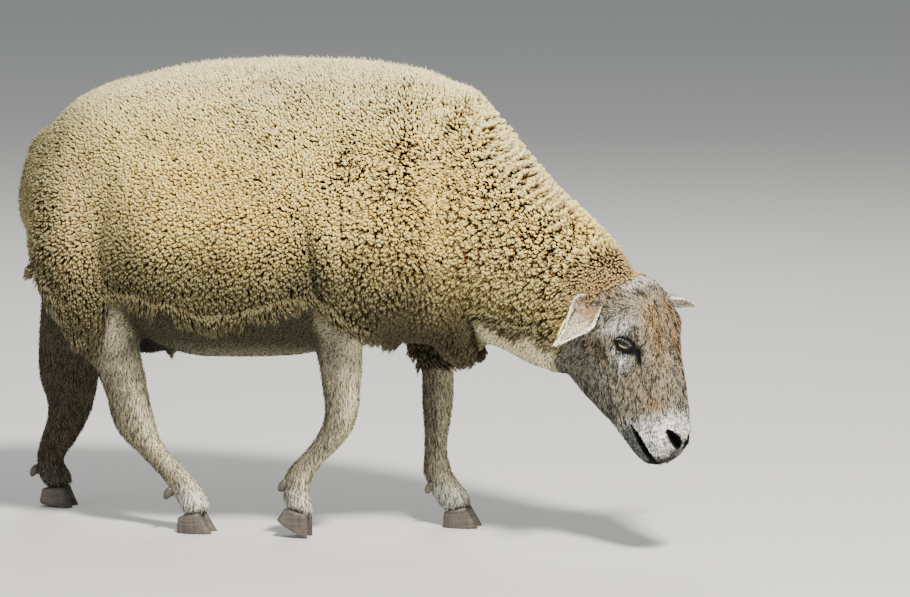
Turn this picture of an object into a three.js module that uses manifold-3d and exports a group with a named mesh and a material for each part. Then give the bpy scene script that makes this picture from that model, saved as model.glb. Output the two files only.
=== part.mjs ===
// A life-size still model of a grazing ewe: short fleece on the trunk and neck, bare legs, belly and
// face, the head lowered and turned a little to the right, the legs in a slow walk.
// Millimetres. +X is the way the ewe walks, +Y her left side, +Z up, the floor at Z = 0.
import * as THREE from "three";
import { mergeVertices } from "three/addons/utils/BufferGeometryUtils.js";
import Module from "manifold-3d";

const wasm = await Module();
wasm.setup();

// ---- Driving dimensions ---------------------------------------------------------------------
const GAP = 0.4; // clearance between touching pieces
const BACK_HEIGHT = 750; // top of the fleece over the loin
const RUMP_X = -410; // rearmost point of the trunk
const BREAST_X = 348; // foremost point of the breast
const NECK_CUT_X = 356; // where the neck is parted from the trunk
const HIND_TRACK = 78; // hind feet, sideways from the middle
const FORE_TRACK = 74; // fore feet, sideways from the middle

const HEAD_TURN = THREE.MathUtils.degToRad(-32); // the face looks to the ewe's right
const HEAD_TILT = THREE.MathUtils.degToRad(18); // the face line, forward of straight down
const HEAD_ROLL = THREE.MathUtils.degToRad(-7); // the right eye lower than the left
const POLL = new THREE.Vector3(632, -76, 434); // top of the head, between the ears
const EYE_RADIUS = 14;
const EYE_AT = { along: 94, up: -43, out: 49 }; // centre of the eyeball, in the head's own axes

// ---- Small tools ----------------------------------------------------------------------------
const vector = (x, y, z) => new THREE.Vector3(x, y, z);
const power = (value, exponent) => Math.sign(value) * Math.abs(value) ** exponent;

// A smooth curve through (knot, value) pairs that never overshoots them.
function curveThrough(knots, values) {
  const last = knots.length - 1;
  const slopes = [];
  for (let i = 0; i < last; i++) slopes.push((values[i + 1] - values[i]) / (knots[i + 1] - knots[i]));
  const tangents = knots.map((_, i) => {
    if (i === 0) return slopes[0];
    if (i === last) return slopes[last - 1];
    if (slopes[i - 1] * slopes[i] <= 0) return 0;
    return (2 * slopes[i - 1] * slopes[i]) / (slopes[i - 1] + slopes[i]);
  });
  return (at) => {
    let i = 0;
    while (i < last - 1 && at > knots[i + 1]) i++;
    const width = knots[i + 1] - knots[i];
    const t = THREE.MathUtils.clamp((at - knots[i]) / width, 0, 1);
    const t2 = t * t;
    const t3 = t2 * t;
    return (
      (2 * t3 - 3 * t2 + 1) * values[i] +
      (t3 - 2 * t2 + t) * width * tangents[i] +
      (3 * t2 - 2 * t3) * values[i + 1] +
      (t3 - t2) * width * tangents[i + 1]
    );
  };
}

// One smooth curve for each named size of a list of stations, over the stations' own `knot`.
function curvesOf(stations, knot) {
  const knots = stations.map((station) => station[knot]);
  const curves = {};
  for (const name of Object.keys(stations[0])) {
    if (typeof stations[0][name] !== "number") continue;
    curves[name] = curveThrough(knots, stations.map((station) => station[name]));
  }
  return curves;
}

// A closed geometry through rings of equally many points, with a point at the middle of each end.
function loft(rings) {
  const sides = rings[0].length;
  const middle = (ring) => ring.reduce((sum, p) => sum.add(p), vector(0, 0, 0)).divideScalar(sides);
  const points = [...rings.flat(), middle(rings[0]), middle(rings[rings.length - 1])];
  const index = [];
  for (let i = 0; i < rings.length - 1; i++) {
    for (let j = 0; j < sides; j++) {
      const a = i * sides + j;
      const b = i * sides + ((j + 1) % sides);
      index.push(a, b, b + sides, a, b + sides, a + sides);
    }
  }
  const end = (rings.length - 1) * sides;
  for (let j = 0; j < sides; j++) {
    const next = (j + 1) % sides;
    index.push(rings.length * sides, next, j);
    index.push(rings.length * sides + 1, end + j, end + next);
  }
  const geometry = new THREE.BufferGeometry().setFromPoints(points);
  geometry.setIndex(index);
  return geometry;
}

// A three.js geometry as a manifold-3d solid, turned the right way out.
function solidOf(geometry, matrix = new THREE.Matrix4()) {
  const bare = geometry.clone();
  bare.deleteAttribute("normal");
  bare.deleteAttribute("uv");
  const merged = mergeVertices(bare.applyMatrix4(matrix), 1e-4);
  const triVerts = new Uint32Array(merged.index.array);
  const make = () =>
    new wasm.Manifold(
      new wasm.Mesh({ numProp: 3, vertProperties: merged.attributes.position.array, triVerts }),
    );
  const made = make();
  if (made.volume() > 0) return made;
  for (let i = 0; i < triVerts.length; i += 3) {
    [triVerts[i + 1], triVerts[i + 2]] = [triVerts[i + 2], triVerts[i + 1]];
  }
  return make();
}

// A manifold-3d solid as a named mesh.
function meshOf(name, solid, material) {
  const { vertProperties, triVerts, numProp } = solid.getMesh();
  const positions = new Float32Array((vertProperties.length / numProp) * 3);
  for (let i = 0; i < positions.length / 3; i++) {
    positions.set(vertProperties.subarray(i * numProp, i * numProp + 3), i * 3);
  }
  const geometry = new THREE.BufferGeometry()
    .setAttribute("position", new THREE.BufferAttribute(positions, 3))
    .setIndex(new THREE.BufferAttribute(new Uint32Array(triVerts), 1));
  geometry.computeVertexNormals();
  const mesh = new THREE.Mesh(geometry, material);
  mesh.name = name;
  return mesh;
}

const union = (...solids) => solids.reduce((sum, solid) => sum.add(solid));
const largest = (solid) => solid.decompose().sort((a, b) => b.volume() - a.volume())[0];

// What is left of `piece` with a small clearance all round `host`.
function clearOf(piece, host) {
  const corners = [[1, 1, 1], [1, -1, -1], [-1, 1, -1], [-1, -1, 1]];
  for (const corner of corners) piece = piece.subtract(host.translate(corner.map((c) => c * GAP)));
  return largest(piece);
}

// An egg-shaped solid with the given half sizes.
function egg(centre, halves, turn = new THREE.Quaternion(), detail = [16, 10]) {
  const matrix = new THREE.Matrix4().compose(centre, turn, halves);
  return solidOf(new THREE.SphereGeometry(1, ...detail), matrix);
}

// A limb through stations of { at, front, back, side }: half depths before and behind its middle
// line and a half width to each side.
function limb(stations, { sides = 12, steps = 13, roundness = 2.1 } = {}) {
  let length = 0;
  const table = stations.map(({ at, front, back, side }, i) => {
    if (i > 0) length += vector(...at).distanceTo(vector(...stations[i - 1].at));
    return { length, x: at[0], y: at[1], z: at[2], front, back, side };
  });
  const size = curvesOf(table, "length");
  const pointAt = (s) => vector(size.x(s), size.y(s), size.z(s));
  const rings = [];
  for (let i = 0; i <= steps; i++) {
    const s = (i / steps) * length;
    const along = pointAt(Math.min(s + 1, length)).sub(pointAt(Math.max(s - 1, 0))).normalize();
    const across = vector(0, 1, 0).addScaledVector(along, -along.y).normalize();
    const ahead = across.clone().cross(along).multiplyScalar(-1);
    if (ahead.x < 0) ahead.negate();
    const ring = [];
    for (let j = 0; j < sides; j++) {
      const angle = (j / sides) * 2 * Math.PI;
      const depth = Math.cos(angle) > 0 ? size.front(s) : size.back(s);
      ring.push(
        pointAt(s)
          .addScaledVector(ahead, depth * power(Math.cos(angle), 2 / roundness))
          .addScaledVector(across, size.side(s) * power(Math.sin(angle), 2 / roundness)),
      );
    }
    rings.push(ring);
  }
  return solidOf(loft(rings));
}

// ---- Trunk ----------------------------------------------------------------------------------
// Side outline and width of the barrel, fleece included; `wide` is the height of the widest line.
const trunkStations = [
  { x: -412, top: 650, wide: 512, bottom: 398, half: 146 },
  { x: -350, top: 674, wide: 508, bottom: 368, half: 162 },
  { x: -255, top: 706, wide: 500, bottom: 322, half: 182 },
  { x: -110, top: 739, wide: 480, bottom: 271, half: 203 },
  { x: 36, top: BACK_HEIGHT, wide: 478, bottom: 277, half: 200 },
  { x: 133, top: 748, wide: 488, bottom: 296, half: 178 },
  { x: 228, top: 738, wide: 490, bottom: 303, half: 158 },
  { x: 300, top: 716, wide: 470, bottom: 298, half: 142 },
  { x: 348, top: 690, wide: 440, bottom: 300, half: 128 },
];
const RUMP_DOME = 135; // length of the rounding at the rump
const BREAST_DOME = 96; // length of the rounding at the breast

function trunkSolid(sides = 26, steps = 19) {
  const size = curvesOf(trunkStations, "x");
  const rings = [];
  for (let i = 0; i <= steps; i++) {
    const share = (1 - Math.cos((i / steps) * Math.PI)) / 2;
    const even = THREE.MathUtils.lerp(i / steps, share, 0.72);
    const x = THREE.MathUtils.lerp(RUMP_X + 0.4, BREAST_X - 0.4, even);
    const rear = THREE.MathUtils.clamp((RUMP_X + RUMP_DOME - x) / RUMP_DOME, 0, 1);
    const fore = THREE.MathUtils.clamp((x - BREAST_X + BREAST_DOME) / BREAST_DOME, 0, 1);
    const dome = Math.sqrt(1 - rear * rear) * Math.sqrt(1 - fore * fore);
    const ring = [];
    for (let j = 0; j < sides; j++) {
      const angle = (j / sides) * 2 * Math.PI;
      const up = Math.cos(angle) > 0 ? size.top(x) - size.wide(x) : size.wide(x) - size.bottom(x);
      const width = size.half(x) * dome;
      ring.push(
        vector(
          x,
          width * power(Math.sin(angle), 0.93),
          size.wide(x) + up * dome * power(Math.cos(angle), 0.93),
        ),
      );
    }
    rings.push(ring);
  }
  return solidOf(loft(rings));
}

// The ham: the woolly thigh from the hip down to the stifle; `rear` is how far back it lies.
function thighSolid(side, { rear, knee }) {
  return limb(
    [
      { at: [-258, side * 78, 628], front: 36, back: 36, side: 34 },
      { at: [-268, side * 98, 560], front: 98, back: 92 + rear, side: 74 },
      { at: [-268, side * 106, 470], front: 114, back: 101 + rear, side: 82 },
      { at: [-262, side * 106, 395], front: 96, back: 90 + rear, side: 71 },
      { at: [knee[0], side * 99, knee[1]], front: 48, back: 64 + rear, side: 48 },
      { at: [knee[0] + 2, side * 95, knee[1] - 38], front: 28, back: 36, side: 30 },
    ],
    { sides: 14, steps: 8 },
  );
}

// The shoulder: the woolly blade and upper arm down to the elbow.
function shoulderSolid(side, elbow) {
  return limb(
    [
      { at: [228, side * 58, 680], front: 44, back: 52, side: 36 },
      { at: [218, side * 92, 590], front: 84, back: 82, side: 62 },
      { at: [210, side * 110, 480], front: 110, back: 98, side: 66 },
      { at: [(elbow[0] + 212) / 2, side * 106, 400], front: 86, back: 78, side: 56 },
      { at: [elbow[0], side * 90, elbow[1]], front: 54, back: 44, side: 43 },
      { at: [elbow[0] + 4, side * 84, elbow[1] - 30], front: 34, back: 28, side: 30 },
    ],
    { sides: 12, steps: 7 },
  );
}

// The tuft of fleece hanging from the breast between the forelegs.
const brisketSolid = () =>
  egg(vector(306, 0, 340), vector(52, 58, 72), new THREE.Quaternion(), [10, 7]);

// ---- Neck -----------------------------------------------------------------------------------
// Crest and throat points of each section and its half width, fleece included.
const neckStations = [
  { run: 0, crestX: 205, crestZ: 712, throatX: 222, throatZ: 330, y: 0, side: 126 },
  { run: 1, crestX: 290, crestZ: 711, throatX: 312, throatZ: 314, y: -2, side: 126 },
  { run: 2, crestX: 354, crestZ: 683, throatX: 362, throatZ: 307, y: -10, side: 121 },
  { run: 3, crestX: 397, crestZ: 635, throatX: 394, throatZ: 298, y: -16, side: 113 },
  { run: 4, crestX: 441, crestZ: 592, throatX: 422, throatZ: 285, y: -26, side: 103 },
  { run: 5, crestX: 484, crestZ: 552, throatX: 448, throatZ: 278, y: -36, side: 93 },
  { run: 6, crestX: 535, crestZ: 514, throatX: 474, throatZ: 274, y: -50, side: 80 },
  { run: 7, crestX: 577, crestZ: 475, throatX: 502, throatZ: 274, y: -64, side: 62 },
  { run: 8, crestX: 602, crestZ: 430, throatX: 545, throatZ: 305, y: -76, side: 38 },
];

function neckSolid(sides = 20, steps = 10) {
  const size = curvesOf(neckStations, "run");
  const last = neckStations[neckStations.length - 1].run;
  const rings = [];
  for (let i = 0; i <= steps; i++) {
    const run = (i / steps) * last;
    const crest = vector(size.crestX(run), size.y(run), size.crestZ(run));
    const throat = vector(size.throatX(run), size.y(run), size.throatZ(run));
    const middle = crest.clone().add(throat).divideScalar(2);
    const rise = crest.clone().sub(middle);
    const ring = [];
    for (let j = 0; j < sides; j++) {
      const angle = (j / sides) * 2 * Math.PI;
      ring.push(
        middle
          .clone()
          .addScaledVector(rise, power(Math.cos(angle), 0.95))
          .add(vector(0, size.side(run) * power(Math.sin(angle), 0.95), 0)),
      );
    }
    rings.push(ring);
  }
  return solidOf(loft(rings));
}

// ---- Head -----------------------------------------------------------------------------------
// The head's own axes: x along the face to the muzzle, y to the ewe's left, z up out of the face.
const facing = vector(Math.cos(HEAD_TURN), Math.sin(HEAD_TURN), 0);
const faceAlong = facing
  .clone()
  .multiplyScalar(Math.sin(HEAD_TILT))
  .add(vector(0, 0, -Math.cos(HEAD_TILT)));
const faceLeft = vector(0, 0, 1).cross(facing).applyAxisAngle(faceAlong, HEAD_ROLL);
const faceUp = faceAlong.clone().cross(faceLeft);
const headMatrix = new THREE.Matrix4().makeBasis(faceAlong, faceLeft, faceUp).setPosition(POLL);
const onHead = (along, left, up) => vector(along, left, up).applyMatrix4(headMatrix);
const headDirection = (along, left, up) => vector(along, left, up).transformDirection(headMatrix);

// Cross-sections of the head: top and bottom of the middle line, and half widths at the brow,
// the eye line, the cheek and the jaw edge.
const headStations = [
  { along: -14, top: -46, bottom: -120, brow: 15, eye: 24, cheek: 24, jaw: 14 },
  { along: -6, top: -24, bottom: -146, brow: 27, eye: 44, cheek: 44, jaw: 26 },
  { along: 12, top: -9, bottom: -168, brow: 36, eye: 54, cheek: 52, jaw: 33 },
  { along: 38, top: 0, bottom: -182, brow: 44, eye: 58, cheek: 55, jaw: 35 },
  { along: 70, top: 4, bottom: -193, brow: 54, eye: 63, cheek: 56, jaw: 36 },
  { along: 98, top: 5, bottom: -193, brow: 45, eye: 57, cheek: 55, jaw: 34 },
  { along: 130, top: 5, bottom: -180, brow: 35, eye: 47, cheek: 49, jaw: 31 },
  { along: 158, top: 6, bottom: -162, brow: 29, eye: 40, cheek: 43, jaw: 28 },
  { along: 182, top: 5, bottom: -145, brow: 26, eye: 36, cheek: 38, jaw: 25 },
  { along: 205, top: 3, bottom: -128, brow: 24, eye: 33, cheek: 35, jaw: 22 },
  { along: 230, top: -1, bottom: -107, brow: 23, eye: 32, cheek: 33, jaw: 20 },
  { along: 252, top: -8, bottom: -101, brow: 22, eye: 30, cheek: 31, jaw: 19 },
  { along: 270, top: -23, bottom: -93, brow: 17, eye: 25, cheek: 25, jaw: 14 },
  { along: 281, top: -44, bottom: -75, brow: 8, eye: 12, cheek: 12, jaw: 7 },
];
// Share of the section's height, from the bottom, of each of the four side points.
const sideHeights = { brow: 0.94, eye: 0.75, cheek: 0.42, jaw: 0.05 };

function headSolid(sides = 22, steps = 22) {
  const size = curvesOf(headStations, "along");
  const first = headStations[0].along;
  const last = headStations[headStations.length - 1].along;
  const rings = [];
  for (let i = 0; i <= steps; i++) {
    const share = i / steps;
    const along = THREE.MathUtils.lerp(first, last, (share + (1 - Math.cos(share * Math.PI)) / 2) / 2);
    const [top, bottom] = [size.top(along), size.bottom(along)];
    const right = Object.entries(sideHeights).map(([name, height]) =>
      vector(0, -size[name](along), THREE.MathUtils.lerp(bottom, top, height)),
    );
    const left = right.map((p) => vector(0, -p.y, p.z)).reverse();
    const outline = new THREE.CatmullRomCurve3(
      [vector(0, 0, top), ...right, vector(0, 0, bottom), ...left],
      true,
      "centripetal",
    );
    rings.push(outline.getSpacedPoints(sides).slice(0, sides).map((p) => vector(along, p.y, p.z)));
  }
  return solidOf(loft(rings), headMatrix);
}

// The open mouth: a wedge between the lips, from the corner of the mouth forward.
const mouth = { corner: [217, -77], upperFront: [295, -55], lowerFront: [295, -71], half: 60 };

function mouthSolid() {
  const outline = new THREE.Shape([
    new THREE.Vector2(...mouth.corner),
    new THREE.Vector2(...mouth.lowerFront),
    new THREE.Vector2(...mouth.upperFront),
  ]);
  const geometry = new THREE.ExtrudeGeometry(outline, { depth: 2 * mouth.half, bevelEnabled: false });
  // The shape is drawn along and up the face, and its depth runs across it.
  const upright = new THREE.Matrix4().makeBasis(vector(1, 0, 0), vector(0, 0, 1), vector(0, -1, 0));
  upright.setPosition(0, mouth.half, 0);
  return solidOf(geometry, headMatrix.clone().multiply(upright));
}

const eyeCentre = (side) => onHead(EYE_AT.along, side * EYE_AT.out, EYE_AT.up);
const eyeSolid = (side, radius) =>
  egg(eyeCentre(side), vector(radius, radius, radius), new THREE.Quaternion(), [12, 9]);

// ---- Ears -----------------------------------------------------------------------------------
// Each ear is a leaf rolled into a trough. Its root, direction and open side are in the head's axes
// and `droop` is the sag of the tip. Along its length: half width, half angle of the roll, and sway
// of the middle line.
const EAR_THICKNESS = 5;
const ears = {
  right: {
    root: [20, -66, -68],
    towards: [0.5, -0.84, -0.22],
    opening: [-0.25, -0.36, 0.9],
    length: 106,
    droop: 6,
    stations: [
      { share: 0, half: 11, roll: 112, sway: 1 },
      { share: 0.1, half: 13, roll: 98, sway: 1 },
      { share: 0.2, half: 19.5, roll: 84, sway: 3.4 },
      { share: 0.3, half: 22.4, roll: 70, sway: 2 },
      { share: 0.4, half: 22.6, roll: 60, sway: -2 },
      { share: 0.5, half: 19.4, roll: 52, sway: -3.6 },
      { share: 0.6, half: 14.6, roll: 47, sway: -4.2 },
      { share: 0.7, half: 9.8, roll: 42, sway: -4 },
      { share: 0.8, half: 6.6, roll: 38, sway: -3.2 },
      { share: 0.9, half: 4.2, roll: 34, sway: -0.9 },
      { share: 1, half: 2, roll: 28, sway: 1.5 },
    ],
  },
  left: {
    root: [18, 42, -36],
    towards: [0.229, 0.971, -0.074],
    opening: [0.967, -0.153, 0.182],
    length: 104,
    droop: 2,
    stations: [
      { share: 0, half: 12, roll: 110, sway: 0 },
      { share: 0.14, half: 14, roll: 96, sway: 0 },
      { share: 0.3, half: 17, roll: 76, sway: 0 },
      { share: 0.5, half: 18, roll: 58, sway: 0 },
      { share: 0.7, half: 15, roll: 48, sway: 0 },
      { share: 0.86, half: 9, roll: 42, sway: 0 },
      { share: 1, half: 2, roll: 34, sway: 0 },
    ],
  },
};

// A function giving the point of an ear at a share of its length, a turn from -1 to 1 across it
// and a thickness behind its open face.
function earSurface({ root, towards, opening, length, droop, stations }) {
  const along = headDirection(...towards);
  const open = headDirection(...opening);
  open.addScaledVector(along, -open.dot(along)).normalize();
  const across = along.clone().cross(open);
  const size = curvesOf(stations, "share");
  return (share, turn, thickness) => {
    const roll = THREE.MathUtils.degToRad(size.roll(share));
    const radius = size.half(share) / Math.sin(Math.min(roll, Math.PI / 2));
    const reach = radius + thickness;
    return onHead(...root)
      .addScaledVector(along, share * length)
      .add(vector(0, 0, -droop * share * share))
      .addScaledVector(across, reach * Math.sin(turn * roll) + size.sway(share))
      .addScaledVector(open, radius * 0.92 - reach * Math.cos(turn * roll));
  };
}

function earSolid(ear, steps = 10, columns = 7) {
  const surface = earSurface(ear);
  const rings = [];
  for (let i = 0; i <= steps; i++) {
    const share = i / steps;
    const turns = Array.from({ length: columns }, (_, j) => (2 * j) / (columns - 1) - 1);
    rings.push([
      ...turns.map((turn) => surface(share, turn, 0)),
      ...turns.map((turn) => surface(share, -turn, EAR_THICKNESS * (1 - 0.4 * share))),
    ]);
  }
  return solidOf(loft(rings));
}

// A plain plastic tag clipped on the rear edge of the right ear, near its tip.
const tag = { length: 27, width: 9, thickness: 2.4, share: 0.72, edge: 1, clear: 4.0, turn: 25 };

function tagSolid() {
  const surface = earSurface(ears.right);
  const edge = surface(tag.share, tag.edge, 2);
  const before = surface(tag.share - 0.1, tag.edge, 2);
  const lengthwise = surface(tag.share + 0.1, tag.edge, 2).sub(before).normalize();
  const outward = edge.clone().sub(surface(tag.share, 0, 2));
  outward.addScaledVector(lengthwise, -outward.dot(lengthwise)).normalize();
  const matrix = new THREE.Matrix4()
    .makeBasis(lengthwise, outward, lengthwise.clone().cross(outward))
    .multiply(new THREE.Matrix4().makeRotationX(THREE.MathUtils.degToRad(tag.turn)))
    .setPosition(edge.addScaledVector(outward, tag.clear));
  return solidOf(new THREE.BoxGeometry(tag.length, tag.thickness, tag.width), matrix);
}

// ---- Legs and feet --------------------------------------------------------------------------
// Joints from the top down. `toe` is the point of the foot on the floor, `lift` the angle by which
// the heel is raised, `hem` the height at which the fleece ends.
const legs = {
  foreleg_right: {
    side: -1,
    toe: 84,
    lift: 30,
    track: FORE_TRACK,
    hem: 290,
    stations: [
      { at: [136, -84, 385], front: 44, back: 40, side: 36 },
      { at: [134, -84, 319], front: 41, back: 41, side: 31 },
      { at: [137, -80, 262], front: 35, back: 34, side: 26 },
      { at: [138, -77, 222], front: 27, back: 30, side: 25 },
      { at: [135, -76, 196], front: 27, back: 26, side: 25 },
      { at: [122, -75, 168], front: 24, back: 21, side: 22 },
      { at: [104, -74, 143], front: 18, back: 18, side: 17 },
      { at: [82, -74, 118], front: 17, back: 18, side: 16 },
      { at: [65, -74, 96], front: 21, back: 24, side: 20 },
      { at: [59, -74, 76], front: 19, back: 21, side: 20 },
      { at: [61, -74, 56], front: 22, back: 19, side: 23 },
      { at: [66, -74, 32], front: 21, back: 18, side: 22 },
    ],
    dewclaw: [42, 82],
  },
  foreleg_left: {
    side: 1,
    toe: 322,
    lift: 0,
    track: FORE_TRACK,
    hem: 260,
    stations: [
      { at: [226, 82, 372], front: 46, back: 44, side: 38 },
      { at: [242, 82, 310], front: 36, back: 36, side: 31 },
      { at: [249, 79, 262], front: 28, back: 28, side: 25 },
      { at: [250, 76, 218], front: 26, back: 25, side: 24 },
      { at: [250, 75, 194], front: 27, back: 25, side: 25 },
      { at: [249, 74, 158], front: 20, back: 21, side: 18 },
      { at: [248, 74, 122], front: 19, back: 20, side: 16 },
      { at: [250, 74, 90], front: 22, back: 25, side: 20 },
      { at: [257, 74, 72], front: 22, back: 26, side: 21 },
      { at: [272, 74, 50], front: 24, back: 22, side: 23 },
      { at: [284, 74, 34], front: 23, back: 21, side: 24 },
      { at: [292, 74, 14], front: 19, back: 18, side: 21 },
    ],
    dewclaw: [240, 62],
  },
  hindleg_right: {
    side: -1,
    toe: -72,
    lift: 0,
    track: HIND_TRACK,
    hem: 280,
    stations: [
      { at: [-244, -92, 358], front: 54, back: 54, side: 44 },
      { at: [-236, -90, 300], front: 45, back: 44, side: 38 },
      { at: [-224, -86, 257], front: 39, back: 38, side: 32 },
      { at: [-214, -82, 219], front: 33, back: 36, side: 27 },
      { at: [-207, -80, 189], front: 32, back: 38, side: 25 },
      { at: [-195, -79, 158], front: 28, back: 33, side: 23 },
      { at: [-175, -78, 128], front: 19, back: 19, side: 18 },
      { at: [-149, -78, 101], front: 17, back: 18, side: 17 },
      { at: [-128, -78, 82], front: 21, back: 24, side: 20 },
      { at: [-116, -78, 62], front: 20, back: 22, side: 21 },
      { at: [-104, -78, 44], front: 22, back: 20, side: 23 },
      { at: [-100, -78, 18], front: 19, back: 18, side: 21 },
    ],
    dewclaw: [-146, 62],
  },
  hindleg_left: {
    side: 1,
    toe: -360,
    lift: 8,
    track: HIND_TRACK,
    hem: 276,
    stations: [
      { at: [-346, 92, 356], front: 60, back: 74, side: 44 },
      { at: [-360, 90, 290], front: 56, back: 66, side: 38 },
      { at: [-368, 86, 240], front: 52, back: 58, side: 32 },
      { at: [-370, 82, 205], front: 48, back: 54, side: 28 },
      { at: [-371, 80, 180], front: 45, back: 41, side: 26 },
      { at: [-378, 79, 148], front: 38, back: 30, side: 24 },
      { at: [-391, 78, 118], front: 33, back: 24, side: 21 },
      { at: [-403, 78, 92], front: 27, back: 22, side: 20 },
      { at: [-408, 78, 74], front: 23, back: 25, side: 21 },
      { at: [-400, 78, 56], front: 22, back: 23, side: 21 },
      { at: [-389, 78, 40], front: 23, back: 20, side: 23 },
      { at: [-384, 78, 18], front: 19, back: 18, side: 21 },
    ],
    dewclaw: [-428, 58],
  },
};

const claw = { length: 60, half: 12.5, spread: 13.5, toeHeight: 44, heelHeight: 34, toeSlope: 0.62 };
const coronet = { x: -40, z: 29, slope: THREE.MathUtils.degToRad(14) }; // where horn meets hair

// One claw in its own axes: the toe's tip at the origin, the heel behind it, the sole at height 0.
function clawGeometry() {
  const [levels, sides] = [3, 12];
  const rings = [];
  for (let i = 0; i <= levels; i++) {
    const rise = i / levels;
    const ring = [];
    for (let j = 0; j < sides; j++) {
      const angle = (j / sides) * 2 * Math.PI;
      const forward = (1 + Math.cos(angle)) / 2; // 0 at the heel, 1 at the toe
      const height = rise * THREE.MathUtils.lerp(claw.heelHeight, claw.toeHeight, forward);
      const shrink = height * claw.toeSlope * forward;
      const narrow = 1 - 0.45 * forward ** 2 - 0.1 * rise;
      ring.push(
        vector(
          -claw.length * (1 - forward) - shrink + 3 * rise * (1 - forward),
          claw.half * narrow * power(Math.sin(angle), 0.8),
          height,
        ),
      );
    }
    rings.push(ring);
  }
  return loft(rings);
}

const aboveFloor = (solid) => solid.trimByPlane([0, 0, 1], 0);

// Where a foot stands: its toe on the floor, turned up at the heel by its lift.
function footMatrix({ side, toe, lift, track }, across = 0) {
  return new THREE.Matrix4()
    .makeTranslation(toe, side * (track + across), lift ? -2.5 : 0)
    .multiply(new THREE.Matrix4().makeRotationY(THREE.MathUtils.degToRad(lift)));
}

// The part of a solid above or below the coronet of a foot, with the gap left between the two.
function atCoronet(solid, leg, keepAbove) {
  const matrix = footMatrix(leg);
  const point = vector(coronet.x, 0, coronet.z).applyMatrix4(matrix);
  const normal = vector(-Math.sin(coronet.slope), 0, Math.cos(coronet.slope)).transformDirection(matrix);
  const height = point.dot(normal);
  return keepAbove
    ? solid.trimByPlane(normal.toArray(), height + GAP)
    : solid.trimByPlane(normal.clone().negate().toArray(), -height);
}

// The two claws of a foot.
function clawSolids(leg) {
  return ["inner", "outer"].map((which) => {
    const matrix = footMatrix(leg, which === "outer" ? claw.spread : -claw.spread);
    return { which, solid: aboveFloor(atCoronet(solidOf(clawGeometry(), matrix), leg, false)) };
  });
}

// The two dewclaws behind a fetlock.
function dewclawSolids({ side, track, dewclaw }, clearance = 0) {
  const turn = new THREE.Quaternion().setFromAxisAngle(vector(0, 1, 0), 0.5);
  return ["inner", "outer"].map((which) => {
    const across = side * track + side * (which === "outer" ? 1 : -1) * 12;
    const halves = vector(7, 6, 13).addScalar(clearance);
    return { which, solid: egg(vector(dewclaw[0], across, dewclaw[1]), halves, turn, [7, 5]) };
  });
}

// ---- Tail, udder, ear tag -------------------------------------------------------------------
const tailSolid = () =>
  limb(
    [
      { at: [-366, 0, 622], front: 26, back: 22, side: 26 },
      { at: [-386, 0, 590], front: 26, back: 20, side: 29 },
      { at: [-402, 0, 545], front: 26, back: 18, side: 29 },
      { at: [-410, 0, 500], front: 25, back: 15, side: 25 },
      { at: [-408, 0, 468], front: 18, back: 11, side: 17 },
      { at: [-406, 0, 454], front: 8, back: 6, side: 8 },
    ],
    { sides: 10, steps: 7 },
  );

function udderSolid() {
  const bag = egg(vector(-206, 0, 318), vector(62, 60, 50), new THREE.Quaternion(), [12, 8]);
  const teat = (side) => {
    const turn = new THREE.Quaternion().setFromEuler(new THREE.Euler(side * 0.35, -0.55, 0));
    return egg(vector(-163, side * 30, 280), vector(8.5, 8.5, 24), turn, [8, 6]);
  };
  return union(bag, teat(1), teat(-1));
}

// ---- Assembly -------------------------------------------------------------------------------
const flesh = (color) => new THREE.MeshStandardMaterial({ color, roughness: 0.9, metalness: 0 });
const materials = {
  fleece: flesh(0xcbb58a),
  hair: flesh(0xb3a898),
  udder: flesh(0x8c6a58),
  eye: new THREE.MeshStandardMaterial({ color: 0x2a1c10, roughness: 0.1, metalness: 0 }),
  tag: new THREE.MeshStandardMaterial({ color: 0xc9c84a, roughness: 0.5, metalness: 0 }),
  horn: new THREE.MeshStandardMaterial({ color: 0x4a4036, roughness: 0.55, metalness: 0 }),
};

const sheep = new THREE.Group();
const place = (name, solid, material) => sheep.add(meshOf(name, solid, material));

// Trunk, neck and head are joined and then parted by two thin cuts.
function thinCut(centre, normal, radius) {
  const turn = new THREE.Quaternion().setFromUnitVectors(vector(0, 1, 0), normal.clone().normalize());
  const matrix = new THREE.Matrix4().compose(centre, turn, vector(1, 1, 1));
  return solidOf(new THREE.CylinderGeometry(radius, radius, GAP, 32), matrix);
}

// Each limb is parted at the hem of the fleece; what lies above stays with the trunk.
const limbs = Object.entries(legs).map(([name, leg]) => {
  const whole = limb(leg.stations);
  const below = whole.trimByPlane([0, 0, -1], -leg.hem);
  const above = whole.trimByPlane([0, 0, 1], leg.hem + GAP);
  return { name, leg, above, below: atCoronet(below, leg, true) };
});
const barrel = union(
  trunkSolid(),
  thighSolid(-1, { rear: 0, knee: [-240, 322] }),
  thighSolid(1, { rear: 28, knee: [-344, 318] }),
  shoulderSolid(-1, [134, 348]),
  shoulderSolid(1, [238, 300]),
  brisketSolid(),
  ...limbs.map(({ above }) => above),
);
const axis = union(barrel, neckSolid(), headSolid().subtract(mouthSolid()))
  .subtract(thinCut(vector(NECK_CUT_X, 0, 495), vector(1, 0, 0), 260))
  .subtract(thinCut(onHead(22, 0, -118), headDirection(0.72, 0, 0.69), 155))
  .subtract(union(eyeSolid(1, EYE_RADIUS + GAP), eyeSolid(-1, EYE_RADIUS + GAP)));
const [trunk, neck, head] = axis.decompose().sort((a, b) => b.volume() - a.volume());

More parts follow.
